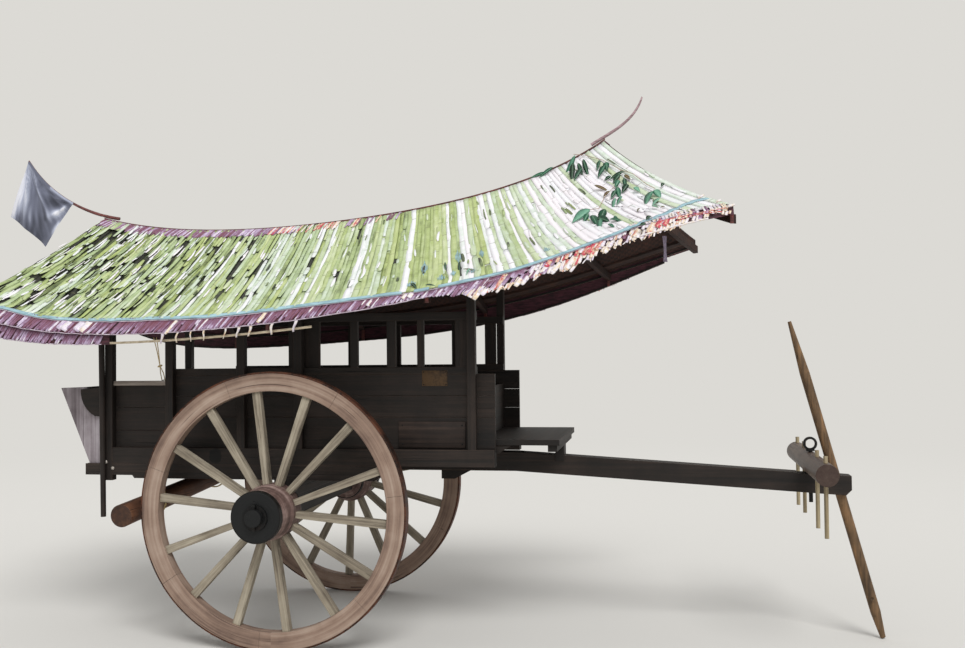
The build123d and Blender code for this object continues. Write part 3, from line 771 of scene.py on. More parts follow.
class CART_OT_stage(bpy.types.Operator):
    """Set up the plain floor, the soft light and the camera at the photograph's viewing angle"""
    bl_idname = "cart.stage"
    bl_label = "Stage"

    def execute(self, context):
        scene = context.scene
        tone = tuple(scene.cart_colours.floor)
        self.light(scene, tone)
        self.lay_floor(scene, tone)
        self.place_camera(scene)
        scene.view_settings.view_transform = "Standard"
        return {"FINISHED"}

    def light(self, scene, tone):
        """A plain white sky with one broad lamp high at the right, and the floor's tone behind."""
        world = bpy.data.worlds.new("studio")
        world.use_nodes = True
        tree = world.node_tree
        sky = tree.nodes["Background"]
        sky.inputs["Color"].default_value = linear("#ffffff")
        sky.inputs["Strength"].default_value = 0.6
        backdrop = add_node(tree, "Background", {"Color": tone, "Strength": 1.0})
        ray = add_node(tree, "LightPath").node
        seen = add_node(tree, "Math", {0: ray.outputs["Is Camera Ray"], 1: ray.outputs["Is Glossy Ray"]},
                        operation="MAXIMUM")
        shown = add_node(tree, "Math", {0: seen, 1: ray.outputs["Is Transmission Ray"]}, operation="MAXIMUM")
        both = add_node(tree, "MixShader", {0: shown, 1: sky.outputs[0], 2: backdrop})
        tree.links.new(both, tree.nodes["World Output"].inputs["Surface"])
        scene.world = world
        lamp = bpy.data.lights.new("broad_lamp", "SUN")
        lamp.energy = 1.9
        lamp.angle = math.radians(28)
        lamp_holder = bpy.data.objects.new("broad_lamp", lamp)
        lamp_holder.rotation_euler = (math.radians(38), math.radians(20), 0)
        scene.collection.objects.link(lamp_holder)

    def lay_floor(self, scene, tone):
        """A wide disc that shades near the cart and fades into the backdrop far away."""
        reach = 60
        ring = [(reach * c, reach * s, 0) for c, s in circle(96)]
        mesh = bpy.data.meshes.new("floor")
        mesh.from_pydata(ring, [], [tuple(range(len(ring)))])
        material, tree = start_material("floor_painted_matt", roughness=0.9, specular_ior_level=0.2,
                                        base_color=tone)
        place = add_node(tree, "TexCoord", out="Object")
        away = add_node(tree, "VectorMath", {0: place}, out="Value", operation="LENGTH")
        fade = add_node(tree, "MapRange", {"Value": away, "From Min": 4.0, "From Max": 13.0},
                        interpolation_type="SMOOTHSTEP")
        backdrop = add_node(tree, "Emission", {"Color": tone, "Strength": 1.0})
        near = tree.nodes["Principled BSDF"].outputs[0]
        both = add_node(tree, "MixShader", {0: fade, 1: near, 2: backdrop})
        tree.links.new(both, tree.nodes["Material Output"].inputs["Surface"])
        mesh.materials.append(material)
        floor = bpy.data.objects.new("floor", mesh)
        scene.collection.objects.link(floor)

    def place_camera(self, scene):
        right, up, ahead = camera_axes()
        lens = bpy.data.cameras.new("camera")
        lens.sensor_width = SENSOR_WIDTH
        lens.lens = FOCAL_PIXELS / PHOTO_SIZE[0] * SENSOR_WIDTH
        camera = bpy.data.objects.new("camera", lens)
        turn = Matrix((right, up, -ahead)).transposed().to_4x4()
        turn.translation = CAMERA_PLACE
        camera.matrix_world = turn
        scene.collection.objects.link(camera)
        scene.camera = camera


def finish_nodes(names, material):
    """Give CAD nodes a finish."""
    for name in names:
        slots = NODES[name].material_slots
        if not slots:
            NODES[name].data.materials.append(material)
        for slot in slots:
            slot.material = material


def both_sides(*names):
    return [f"{name}_{side}" for name in names for side in SIDES]


class CART_OT_wheels(bpy.types.Operator):
    """Finish the wheels: grey-brown rims, khaki spokes, greased naves and rusty hoops"""
    bl_idname = "cart.wheels"
    bl_label = "Wheels"

    def execute(self, context):
        colours = context.scene.cart_colours
        # Hardwood, sawn and weathered: silver-pink grain with darker sunken stains
        finish_nodes(both_sides("felloes"), wood(
            "hardwood_weathered_rim", "#5d4a42", colours.felloe_wood, "#ad998a", "around",
            roughness=0.78, worn="#c4ad9b"))
        # Hardwood, shaved and weathered: khaki grey with long pale fibres
        finish_nodes(both_sides("spokes"), wood(
            "hardwood_shaved_spoke", "#574e42", colours.spoke_wood, "#b3aa97", "out", streak=7,
            roughness=0.75, worn="#bdb4a1"))
        # Hardwood, turned and greased: dusty pink barrel, black on its outer end
        finish_nodes(both_sides("nave"), grease_ends(wood(
            "hardwood_turned_greased", "#352723", "#6a544e", "#9d8780", "around", streak=7,
            roughness=0.6, wear=0.4)))
        # Iron hoop, forged and rolled on stones: rust-brown with dark scale
        finish_nodes(both_sides("tyre"), forged_iron("wrought_iron_hoop", "#221a17", "#6a4230", 0.5))
        # Iron, forged and greased: blue-black with a low shine
        finish_nodes([*both_sides("nave_bands"), "axle_washers", "linchpins", "yoke_pin"], forged_iron(
            "wrought_iron_greased", "#101112", "#2a2522", 0.56, roughness=0.45))
        return {"FINISHED"}


class CART_OT_body(bpy.types.Operator):
    """Finish the body, its platform and the timbers under it"""
    bl_idname = "cart.body"
    bl_label = "Body"

    def execute(self, context):
        colours = context.scene.cart_colours
        # The body timbers' colours are dark wood with the painted shade of the roof in them
        long_timber = body_timber(colours, "x", "teak_smoked_painted_shade_long")
        rot_hole(long_timber, at_pixel(*ROT_PIXEL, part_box("sills")[0].y), 0.045)
        finish_nodes([*both_sides("wall_planks"), "sills", "runners", "floor_planks", "middle_rails",
                      "window_heads", "draught_pole", "wall_plates", "platform_braces", "ridge_pole",
                      "tail_brackets"], long_timber)
        finish_nodes([*both_sides("posts"), "balusters", "side_panel", "rear_stick"],
                     body_timber(colours, "z", "teak_smoked_painted_shade_upright"))
        finish_nodes(["axle_beam"], grease_ends(body_timber(colours, "y", "teak_planed_greased_axle")))
        finish_nodes(["axle_bolster", "joists", "tie_beams", "pole_blocks", "front_board", "front_platform",
                      "tailboard", "sling_pegs"], body_timber(colours, "y", "teak_smoked_painted_shade_cross"))
        # Softwood board, sawn and bleached: lilac grey with open grain
        finish_nodes(["tail_wings"], wood("board_sawn_bleached", "#5f5659", "#8a8185", "#b5adb2", "z",
                                          streak=10, roughness=0.85, wear=0.3))
        # Hardwood, worn by hands: pale dusty top face
        finish_nodes(["cap_rails"], wood("hardwood_rubbed_rail", "#5b5049", "#8d8279", "#b7ada3", "x",
                                         streak=8))
        # Jungle wood, debarked and oiled by handling: orange-brown with dark knots
        finish_nodes(["brake_log"], wood("roundwood_debarked", "#2c1d16", "#62412f", "#94684b", "y",
                                         streak=12, roughness=0.6, wear=0.4))
        # Hardwood, adzed and rubbed by necks: dark grey-brown with a low polish
        finish_nodes(["yoke_beam"], wood("hardwood_adzed_rubbed", "#3a2a25", "#58493f", "#7f7064", "y",
                                         streak=12, roughness=0.5, worn="#8d7d70"))
        # Pole wood, shaved: brown with orange streaks where the bark is gone
        finish_nodes(["prop_stake", "stake_peg"], wood(
            "roundwood_shaved", "#2f2318", "#69523a", "#97734f", "z", roughness=0.65, wear=0.4))
        # Bamboo, whole and polished by use: pale grey straw
        finish_nodes(["yoke_neck_pins"], wood("bamboo_whole_polished", "#6c5f48", "#9c8d70", "#c3b695",
                                              "z", streak=6, roughness=0.5, wear=0.3))
        return {"FINISHED"}


class CART_OT_roof_strips(bpy.types.Operator):
    """Lay the split painted strips on both sides of the roof, torn and curled as they have aged"""
    bl_idname = "cart.roof_strips"
    bl_label = "Roof strips"

    def execute(self, context):
        settings = context.scene.cart_roof
        material = painted_strips(context.scene.cart_colours)
        finish_nodes(both_sides("roof_skin"), roof_mat())
        # Bamboo, split and smoked: near black with dull red-brown fibres
        finish_nodes(["roof_laths", "rafters"], wood(
            "bamboo_split_smoked", "#150c09", "#2c1812", "#462a1e", "x", streak=8, roughness=0.6))
        near = RoofSide("right")
        stations, drops = near_line(EaveFace("right", near))
        holes = self.find_patches(near, HOLES)
        for order, side in enumerate(SIDES):
            roof = near if side == "right" else RoofSide(side)
            draw = random.Random(41 + order)
            pile = Pile()
            self.lay_field(pile, roof, holes, (EaveFace(side, roof), stations, drops), settings, draw)
            self.scatter_loose(pile, roof, settings, draw)
            pile.make(f"roof_strips_{side}", material, "cart", "split_bamboo")
        return {"FINISHED"}

    def find_patches(self, roof, patches):
        """Run, fall and their half sizes for patches given in the photograph's pixels."""
        skin = node_tree("roof_skin_right")
        found = []
        for column, row, long, wide in patches:
            place, pixel = seen_on(skin, column, row)
            run, fall = roof.locate(place)
            low = seen_on(skin, column - long * 0.25, row + long * 0.5)[0] or place
            half_fall = max(0.012, abs(roof.locate(low)[1] - fall))
            found.append((run, fall, wide * pixel / 3 / roof.length, half_fall))
        return found

    def lay_field(self, pile, roof, holes, drape, settings, draw):
        """Close field of strips from the ridge to the eave, over a shaded lower layer."""
        pitch = roof.length / settings.strip_count
        for i in range(settings.strip_count):
            run = (i + 0.2) / settings.strip_count
            # The lower layer's tint is lowest at the rear: painted shade between the strips there
            tint = between(run, (0, 0.4, 0.65, 0.8, 1), (-0.16, 0.08, 0.55, 0.85, 0.95))
            lift = 0.001 + 0.0014 * (i % 2) + between(run, (0.5, 0.8), (0, 0.0022))
            lay_strip(pile, roof, run, STRIP_START, STRIP_END, pitch * 1.15, lift,
                      tint + draw.gauss(0, 0.05), 1000 + i, twist=0.02, wave=0.002, drape=drape)
        # A strip tinted darker than the shade colour lies under each hole: painted shade in the hole
        for run, fall, half_run, half_fall in holes:
            for i in range(max(1, round(2 * half_run / pitch * roof.length))):
                lay_strip(pile, roof, run + (i - 0.5) * half_run * 0.8, fall - half_fall * 1.2,
                          min(0.99, fall + half_fall * 1.2), pitch * 1.1, HOLE_LIFT, -0.3,
                          2000 + fall, twist=0.02)
        for i in range(settings.strip_count):
            run = (i + 0.5) / settings.strip_count
            tatter = tatter_at(run)
            width = pitch * draw.uniform(0.86, 1.12) * between(run, (0, 0.4, 0.7), (1.08, 1, 1.25))
            run += draw.uniform(-0.2, 0.2) / settings.strip_count * (0.4 + tatter)
            tint = tint_at(run) + draw.gauss(0, 0.06)
            # Some strips here are paler, and further forward white by turns: partly painted highlights of
            # glints
            picked = draw.random()
            if run > MIXED_FROM:
                white = between(run, (MIXED_FROM, 0.55, 0.70, 0.80, 0.9), (0.06, 0.20, 0.28, 0.58, 0.85))
                green, pale = (between(run, (MIXED_FROM, 0.70, 0.82, 0.9), tints)
                               for tints in ((0.42, 0.45, 0.55, 0.60), (0.70, 0.78, 0.86, 0.90)))
                tint = (pale if picked < white else green) + draw.uniform(-0.10, 0.12)
            elif picked < 0.12:
                tint += draw.uniform(0.15, 0.35)
            elif picked > 0.94:
                tint -= draw.uniform(0.1, 0.25)
            gaps = []
            for _ in range(int(draw.random() + 2.4 * tatter)):
                place = draw.uniform(0.08, 0.96)
                gaps.append((place, place + draw.uniform(0.006, 0.05) * (0.35 + tatter)))
            gaps += [(fall - half_fall, fall + half_fall) for hole_run, fall, half_run, half_fall in holes
                     if abs(hole_run - run) < half_run + 0.2 / settings.strip_count]
            start = STRIP_START
            torn_start = False
            lift = FIELD_LIFT + 0.0024 * (i % 2) * between(run, (0.45, 0.75), (1, 0.5))
            for gap_start, gap_end in [*sorted(gaps), (None, None)]:
                end = STRIP_END if gap_start is None else gap_start
                if end - start > 0.03:
                    lay_strip(pile, roof, run, start, end, width, lift + draw.uniform(0, 0.002),
                              tint + draw.gauss(0, 0.06), i + 100 * start,
                              (torn_start, gap_start is not None), 0.12 + 0.3 * tatter,
                              0.004 + 0.008 * tatter, drape if gap_start is None else None)
                if gap_end is not None:
                    start = max(start, gap_end)
                    torn_start = True

    def scatter_loose(self, pile, roof, settings, draw):
        """Short loose bits that lie across the others, thickest at the rear. Their whitest tints are painted
        highlights of glints.
        """
        laid = 0
        while laid < settings.loose_count:
            run = draw.random()
            if draw.random() > tatter_at(run):
                continue
            start = draw.uniform(0.05, 0.93)
            end = min(0.985, start + draw.uniform(0.03, 0.13))
            lay_strip(pile, roof, run, start, end, draw.uniform(0.006, 0.021),
                      draw.uniform(*LOOSE_LIFTS),
                      draw.choice((0.12, 0.35, 0.6, 0.76, 0.84, 0.97)) + draw.gauss(0, 0.05),
                      draw.uniform(200, 900), (True, True), 0.5, 0.02)
            laid += 1


class EaveFace:
    """One side's eave: the lower part of the roof and the outward face of the band under it.

    A place is (row, x, drop). Row 0 is the broad band and row 1 the narrow one under it, where
    there is one. Drop is the share of the way down the row; on row 0 a drop below 0 lies on the
    roof, whose ridge is at -1. The band's face is found by level rays from outside, and a row
    keeps its upper and its lower line along the eave as (x, y, z, y, z).
    """
    STEP = 0.03
    SCAN = 0.004
    # A row ends where the face steps inward by more than this
    LEDGE = 0.008
    # Kept free inside the cart's whole width for what is laid on the face
    ROOM = 0.014

    def __init__(self, side, roof):
        self.roof = roof
        self.outward = roof.outward
        low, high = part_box(f"eave_band_{side}")
        tree = node_tree(f"eave_band_{side}")
        inward = Vector((0, -self.outward, 0))
        rows = [[], []]
        for x in np.arange(low.x + 0.003, high.x - 0.003, self.STEP):
            hits = [tree.ray_cast(Vector((x, self.outward * OUTSIDE, z)), inward, 0.5)[0]
                    for z in np.arange(high.z, low.z, -self.SCAN)]
            hits = [hit for hit in hits if hit]
            split = len(hits)
            for i in range(len(hits) - 1, 0, -1):
                if abs(hits[i - 1].y) - abs(hits[i].y) > self.LEDGE:
                    split = i
            for row, part in zip(rows, (hits[:split], hits[split:])):
                if len(part) > 2:
                    row.append((x, part[0].y, part[0].z, part[-1].y, part[-1].z))
        self.rows = [np.array(row) for row in rows if len(row) > 2]
        self.runs = np.linspace(0, 1, 80)
        self.eave_x = [roof.point(run, 1).x for run in self.runs]

    def reach(self, row):
        return self.rows[row][0, 0], self.rows[row][-1, 0]

    def point(self, row, x, drop):
        if row == 0 and drop < 0:
            return self.roof.point(between(x, self.eave_x, self.runs), 1 + drop)
        line = self.rows[row]
        top_y, top_z, low_y, low_z = (np.interp(x, line[:, 0], line[:, k]) for k in range(1, 5))
        y = min(max(top_y + (low_y - top_y) * drop, CAD_BOX[0].y + self.ROOM), CAD_BOX[1].y - self.ROOM)
        return Vector((x, y, top_z + (low_z - top_z) * drop))

    def normal(self, row, x, drop):
        step = 0.01
        along = self.point(row, x + step, drop) - self.point(row, x - step, drop)
        down = self.point(row, x, drop + step) - self.point(row, x, drop - step)
        return pointing(along.cross(down), Vector((0, self.outward, 1)))

    def at_column(self, row, column, drop=0.5):
        """The place on a row that the photograph shows in a pixel column."""
        places = [self.point(row, x, drop) for x in self.rows[row][:, 0]]
        x = np.interp(column, [seen_at(place)[0] for place in places], self.rows[row][:, 0])
        return self.point(row, x, drop)

    def drops_where_seen(self, pixels, outside, lift=0.0):
        """The drop along X that puts a line on the pixels given, and the drop outside their columns."""
        away = Vector((0, self.outward, 1)).normalized() * lift
        columns, rows = zip(*pixels)
        choices = np.arange(-0.14, 2.3, 0.02)
        drops = []
        for x in self.rows[0][:, 0]:
            drop = outside
            if columns[0] <= seen_at(self.point(0, x, 0))[0] <= columns[-1]:
                seen = [seen_at(self.point(0, x, choice) + away) for choice in choices]
                misses = [abs(row - np.interp(column, columns, rows)) for column, row in seen]
                drop = float(choices[int(np.argmin(misses))])
            drops.append(drop)
        return self.rows[0][:, 0], drops


def near_line(eave):
    """The painted line's drop along X. Behind the wheel it lies on the band's upper edge."""
    stations, drops = eave.drops_where_seen(LINE_PIXELS, 0.3, LINE_LIFT)
    return stations, [max(drop, 0.05) if x < WHEEL_CENTRE.x + 1 else drop for x, drop in zip(stations, drops)]


def lay_fleck(pile, eave, row, x, lean, start, end, width, lift, tint, seed, curl=0.0, fade=0.0):
    """One short strip slanting down a row of the eave, its tint lightened by fade at its foot as a painted
    highlight.
    """
    height = (eave.point(row, x, 1) - eave.point(row, x, 0)).length
    rings = []
    steps = 5
    for i in range(steps + 1):
        drop = start + (end - start) * i / steps
        here = x - lean * height * (drop - start)
        normal = eave.normal(row, here, min(drop, 0.95))
        over_strips = 0.011 * min(1, max(0, 1 - drop / 0.12)) * (row == 0)
        ripple = 0.0015 * wobble(drop * 6, seed, 1.5)
        away = lift + over_strips + curl * (i / steps) ** 2 + ripple
        side = (FORWARD - normal * normal.x - UP * lean).normalized()
        section = strip_section(eave.point(row, here, drop) + normal * away, side, normal,
                                width * (1 - 0.25 * (i == steps)), 0.0012, 0.0012)
        for point in section:
            point.y = min(max(point.y, CAD_BOX[0].y), CAD_BOX[1].y)
        rings.append(section)
    pile.add_rings(rings, tint, seed, fade=fade)


# How far the painted line stands off the eave's face, over the ends of the strips
LINE_LIFT = 0.0125
# Where the photograph shows the painted line of the near eave: pixel column and row
LINE_PIXELS = (
    (0, 302.9), (41, 312), (82, 316), (122, 317.5), (163, 317.5), (204, 316), (245, 312), (286, 307),
    (330, 301.5), (367, 296.6), (404, 292), (426, 288.8), (460, 281.8), (487, 275.9), (515, 269.2),
    (540, 261), (560, 254.2), (589, 243.6), (617, 232.9), (640, 223.2), (658, 216.9), (675, 209.4),
    (696, 200.2), (735, 190),
)
# Where it shows the lower line of the near band from its middle to its front
FOOT_PIXELS = (
    (426, 297.5), (441, 295.5), (459, 294), (487, 292), (506, 287), (515, 285), (533, 279), (552, 274),
    (570, 268), (589, 261), (607, 252), (629, 242.7), (652, 235.8), (669, 230.5), (692, 222), (721, 212.5),
)
# White and cream flakes of the near eave band: pixel column, width in mm, from and to as shares
# of the way from the painted line to the band's foot, tint
WIDE_FLAKES = (
    (66, 40, 0.12, 0.80, 0.72), (71, 44, 0.12, 0.85, 0.80), (84, 46, 0.12, 0.85, 0.76),
    (91, 50, 0.12, 0.92, 0.82), (177, 16, 0.1, 1.15, 0.86), (266, 20, 0.1, 0.9, 0.90),
    (372, 16, 0.35, 0.8, 0.80), (407, 24, 0.2, 0.75, 0.83), (413, 26, 0.15, 0.75, 0.82),
    (478, 26, 0.8, 1.3, 0.84), (484, 28, 0.7, 1.35, 0.88), (490, 24, 0.8, 1.25, 0.82),
    (505, 14, 0.8, 1.3, 0.84), (523, 24, 0.75, 1.2, 0.84), (530, 20, 0.75, 1.25, 0.82),
    (548, 30, 0.5, 0.9, 0.84), (552, 24, 0.1, 0.5, 0.98), (561, 22, 0.5, 1.1, 0.84),
    (576, 30, 0.45, 1.15, 0.84), (579, 16, 0.8, 1.35, 0.86), (590, 24, 0.1, 0.6, 0.98),
    (597, 30, 0.05, 0.7, 0.99), (603, 22, 0.1, 0.65, 0.97), (612, 26, 0.5, 1.15, 0.86),
    (640, 30, 0.3, 0.8, 0.90), (655, 34, 0.2, 0.8, 0.90), (663, 36, 0.1, 0.6, 0.99),
    (669, 26, 0.15, 0.6, 0.98),
)
# Where the band turns from maroon to bleached, along X: none, part and nearly all
FRONT_CHANGE = (0.62, 0.80, 1.0)
# The stretch of the near band with bleached tatters along its foot, by pixel column
TATTER_COLUMNS = (470, 690)
# Rags that hang from the near band to the bare lath under it, by pixel column
RAG_COLUMNS = (163, 178, 192, 205, 226, 239, 251, 273, 296)
# Yarns and canes on the near band's front: pixel columns from and to, share of the row down from
# its top, its bow, radius in metres and tint
TIP_LINES = (
    (662, 726, 0.05, 0.10, 0.0025, 0.99), (676, 722, 0.45, -0.15, 0.0025, 0.99),
    (640, 708, 0.96, 0.03, 0.005, 0.83),
)
# Pale stick ends at the near tip: pixel column and row of the root, then of the end
TIP_STICKS = ((698, 198, 704, 195), (716, 202, 721, 200), (726, 207, 735, 204.5))
# The painted line is lost here: pixel columns from and to
LINE_GAPS = ((404, 412), (430, 438))


class CART_OT_eave_bands(bpy.types.Operator):
    """Cover the eave bands with short slanting dyed strips, and lay the painted line above them"""
    bl_idname = "cart.eave_bands"
    bl_label = "Eave bands"

    def execute(self, context):
        colours = context.scene.cart_colours
        settings = context.scene.cart_roof
        dyed = band_strips(colours)
        # Cane mat, dyed and smoked: dark maroon backing that shows between the flecks
        backing = plain_fibre("cane_dyed_backing", "#241017", "#5b2f3b", 7)
        finish_nodes([*both_sides("eave_band"), "ridge_cap"], backing)
        # Cane, split and bare: pale straw with thin dark fibres
        finish_nodes(["eave_laths"], darken_inward_faces(plain_fibre("cane_split_bare", "#8a7a63", "#cbbda4", 4)))
        # Cane, whole and oiled: dark red-brown skin
        whip = plain_fibre("cane_whole_oiled", "#3c1f1d", "#7a3f3a", 6, roughness=0.45)
        finish_nodes(["ridge_cane", "flag_whip", "eave_pegs"], whip)
        # Cane, whole and peeled: pale pink-grey, bleached and smooth
        finish_nodes(["front_whip"], plain_fibre("cane_whole_peeled", "#806669", "#b79a9f", 6,
                                                 roughness=0.4))
        # Lime paint, brushed: chalky turquoise that wears through in streaks
        paint = plain_fibre("paint_brushed_blue", "#7c9da8", colours.line_blue, 9, roughness=0.6)
        # Cotton yarn, laid: lilac-white edge of the band
        yarn = plain_fibre("cotton_yarn_laid", "#9c8796", "#d9cbd8", 4)
        for order, side in enumerate(SIDES):
            draw = random.Random(67 + order)
            near = side == "right"
            band = EaveFace(side, RoofSide(side))
            if near:
                stations, line_drops = near_line(band)
                foot_drops = band.drops_where_seen(FOOT_PIXELS, 1.0)[1]
            self.line = lambda x: between(x, stations, line_drops)
            self.foot = lambda x: between(x, stations, foot_drops)
            flecks, edges, line = Pile(), Pile(), Pile()
            for row in range(len(band.rows)):
                self.lay_row(flecks, band, row, settings, draw)
                self.lay_edge(edges, band, row)
            self.lay_rim(edges, band)
            self.paint_line(line, band, settings, near)
            if near:
                self.lay_flakes(flecks, band, draw)
                self.hang_tatters(flecks, band, draw)
                self.hang_rags(flecks, band, draw)
            flecks.make(f"band_flecks_{side}", dyed, "cart", "purple_band")
            edges.make(f"band_edges_{side}", yarn, "cart", "purple_band")
            if near:
                self.lace_tip(band, dyed)
            line.make(f"painted_line_{side}", paint, "cart", "split_bamboo")
        return {"FINISHED"}

    def tint(self, x, row, draw):
        """Tint and fade: maroon at the rear, mixed with white, cream and red patches at the front. Fade is a
        painted highlight on a fleck's foot.
        """
        front = between(x, FRONT_CHANGE, (0, 0.4, 0.92))
        if draw.random() < front:
            red = wobble(x * 7, 3.5, 0.5) > 0.2
            choices = (0.97, 0.99, 0.84, 0.82, 0.90) if red else (0.74, 0.80, 0.82, 0.84, 0.84, 0.87, 0.91)
            return draw.choice(choices) + draw.gauss(0, 0.015), 0.0
        if row:
            return draw.uniform(0.40, 0.62), draw.uniform(0.05, 0.25)
        picked = draw.random()
        if picked < 0.10:
            return draw.uniform(0.68, 0.82), 0.0
        rosy = between(x, (-0.4, 0.5), (0, 0.08))
        return draw.uniform(0.26, 0.48) + rosy, draw.uniform(0.0, 0.42)

    def lay_row(self, pile, band, row, settings, draw):
        low, high = band.reach(row)
        x = low + settings.fleck_width
        while x < high - 0.004:
            front = between(x, FRONT_CHANGE, (0, 0.4, 1))
            width = settings.fleck_width * draw.uniform(0.6, 1.15) * (1 + 0.3 * front)
            lean = (0.62 - 0.37 * front) * draw.uniform(0.8, 1.15)
            start = 0.02 if row else max(self.line(x) - 0.04, -0.02)
            end = (1.0 if row else self.foot(x)) + draw.uniform(-0.5, 0.4) * (0.04 + 0.25 * front)
            if draw.random() < 0.1:
                end = start + (end - start) * draw.uniform(0.5, 0.9)
            courses = [(start, end)]
            if front > 0.3:
                middle = start + (end - start) * draw.uniform(0.4, 0.6)
                courses = [(middle - 0.05, end), (start, middle)]
            for start, end in courses:
                if x - low > lean * 0.09 and draw.random() > 0.03:
                    tint, fade = self.tint(x, row, draw)
                    lay_fleck(pile, band, row, x, lean, start, end, width,
                              draw.uniform(0.0008, 0.0030), tint, draw.uniform(0, 99),
                              draw.uniform(0, 0.006) * (1 + front), fade)
            x += width * draw.uniform(0.95, 1.15)

    def lay_flakes(self, pile, band, draw):
        for column, width, start, end, tint in WIDE_FLAKES:
            x = band.at_column(0, column).x
            line, foot = self.line(x), self.foot(x)
            lay_fleck(pile, band, 0, x, 0.6, line + (foot - line) * start, line + (foot - line) * end,
                      width * MM, 0.005, tint, draw.uniform(0, 99), 0.004)

    def hang_tatters(self, pile, band, draw):
        """Small bleached ends that stick out under the band's front."""
        first, last = (band.at_column(0, column).x for column in TATTER_COLUMNS)
        for x in np.arange(first, last, 0.011):
            if draw.random() < 0.62:
                foot = self.foot(x)
                lay_fleck(pile, band, 0, x, draw.uniform(-0.6, 1.0), foot - 0.25,
                          foot + draw.uniform(0.0, 0.3), draw.uniform(0.004, 0.011), 0.004,
                          draw.choice((0.80, 0.84, 0.86, 0.90)), draw.uniform(0, 99),
                          draw.uniform(-0.002, 0.006))

    def hang_rags(self, pile, band, draw):
        """Torn ends that hang from the band's lower line and catch on the bare lath."""
        lath = node_tree("eave_laths")
        out = Vector((0, band.outward, 0))
        for column in RAG_COLUMNS:
            top = band.at_column(0, column, 0.97)
            width = draw.uniform(0.009, 0.02)
            sight = Vector((top.x - 0.02, band.outward * OUTSIDE, top.z - 0.11))
            hits = (lath.ray_cast(sight + UP * (0.004 * i), -out, 0.5)[0] for i in range(40))
            caught = next((hit for hit in hits if hit), None)
            if caught:
                low = caught + out * 0.004 - UP * 0.012
                rings = []
                for share in (i / 6 for i in range(7)):
                    centre = (top.lerp(low, share) + FORWARD * (0.004 * math.sin(share * 5 + column))
                              + out * (0.006 * math.sin(share * math.pi) + 0.002))
                    rings.append(strip_section(centre, Vector((1, 0, 0.2)).normalized(), out,
                                               width * (1 - 0.5 * share), 0.0015, 0.002))
                pile.add_rings(rings, draw.choice((0.8, 0.84, 0.88)), column)

    def lay_edge(self, pile, band, row):
        """A thin yarn along the lower line of a row."""
        low, high = band.reach(row)
        path = [band.point(row, x, 1.0) + Vector((0, band.outward * 0.003, 0.0015 * wobble(x * 9, row, 0)))
                for x in np.arange(low, min(high, FRONT_CHANGE[2]), 0.02)]
        pile.add_rings(tube_rings(path, 0.0028, 6), 0.5)

    def lay_rim(self, pile, band):
        """A white yarn between the painted line and the band."""
        places = [(0, x, self.line(x) + 0.12) for x in np.arange(*band.reach(0), 0.03)]
        path = [band.point(*place) + band.normal(*place) * 0.008 for place in places]
        pile.add_rings(tube_rings(path, 0.003, 6), 0.5)

    def lace_tip(self, band, dyed):
        """Red yarns, a white cane and three pale stick ends on the front of the near band."""
        pile = Pile()
        out = Vector((0, band.outward, 0))
        for first, last, drop, sway, radius, tint in TIP_LINES:
            start, end = (band.at_column(0, column).x for column in (first, last))
            path = [band.point(0, start + (end - start) * share, drop + sway * math.sin(math.pi * share))
                    + out * (0.006 + radius) for share in (i / 32 for i in range(33))]
            pile.add_rings(tube_rings(path, radius, 6), tint)
        for column, row, tip_column, tip_row in TIP_STICKS:
            y = band.at_column(0, column).y
            path = [at_pixel(column, row, y + band.outward * 0.004), at_pixel(tip_column, tip_row, y)]
            pile.add_rings(tube_rings(path, 0.0055, 8), 0.84)
        pile.make("tip_lacing", dyed, "cart", "purple_band")

    def paint_line(self, pile, band, settings, near):
        """The painted line over the strips' ends, with the patches of the same paint near it."""
        stretch = []
        gaps = LINE_GAPS if near else ()
        stations = np.arange(*band.reach(0), 0.016)
        for x in stations:
            drop = self.line(x)
            place = band.point(0, x, drop)
            normal = band.normal(0, x, drop + 0.02)
            down = (band.point(0, x, drop + 0.03) - band.point(0, x, drop - 0.03)).normalized()
            lost = any(start < seen_at(place)[0] < end for start, end in gaps)
            lift = LINE_LIFT + 0.001 * noise.noise(place * 14)
            slack = 1.7 if drop < 0.04 else 1.0
            width = settings.line_width * slack * (1 + 0.25 * noise.noise(place * 11))
            if not lost:
                stretch.append(strip_section(place + normal * lift, down, normal, width, 0.0012, 0.0008))
            if stretch and (lost or x == stations[-1]):
                if len(stretch) > 2:
                    pile.add_rings(stretch, 0.5)
                stretch = []
        skin = node_tree("roof_skin_right")
        for column, row, long, wide in PAINT_PATCHES if near else ():
            place, pixel = seen_on(skin, column, row)
            if place:
                run, fall = band.roof.locate(place)
                reach = long * pixel / band.roof.half_width
                for smear in range(-2, 3):
                    ragged = 0.01 * wobble(column, smear, 0)
                    end = fall + reach * (0.9 - 0.3 * abs(smear)) + ragged
                    lay_strip(pile, band.roof, run + smear * wide * pixel * 0.25 / band.roof.length,
                              2 * fall - end - reach * 0.1, min(0.99, end), wide * pixel * 0.2,
                              0.0100, 0.5, column + smear, (True, True))


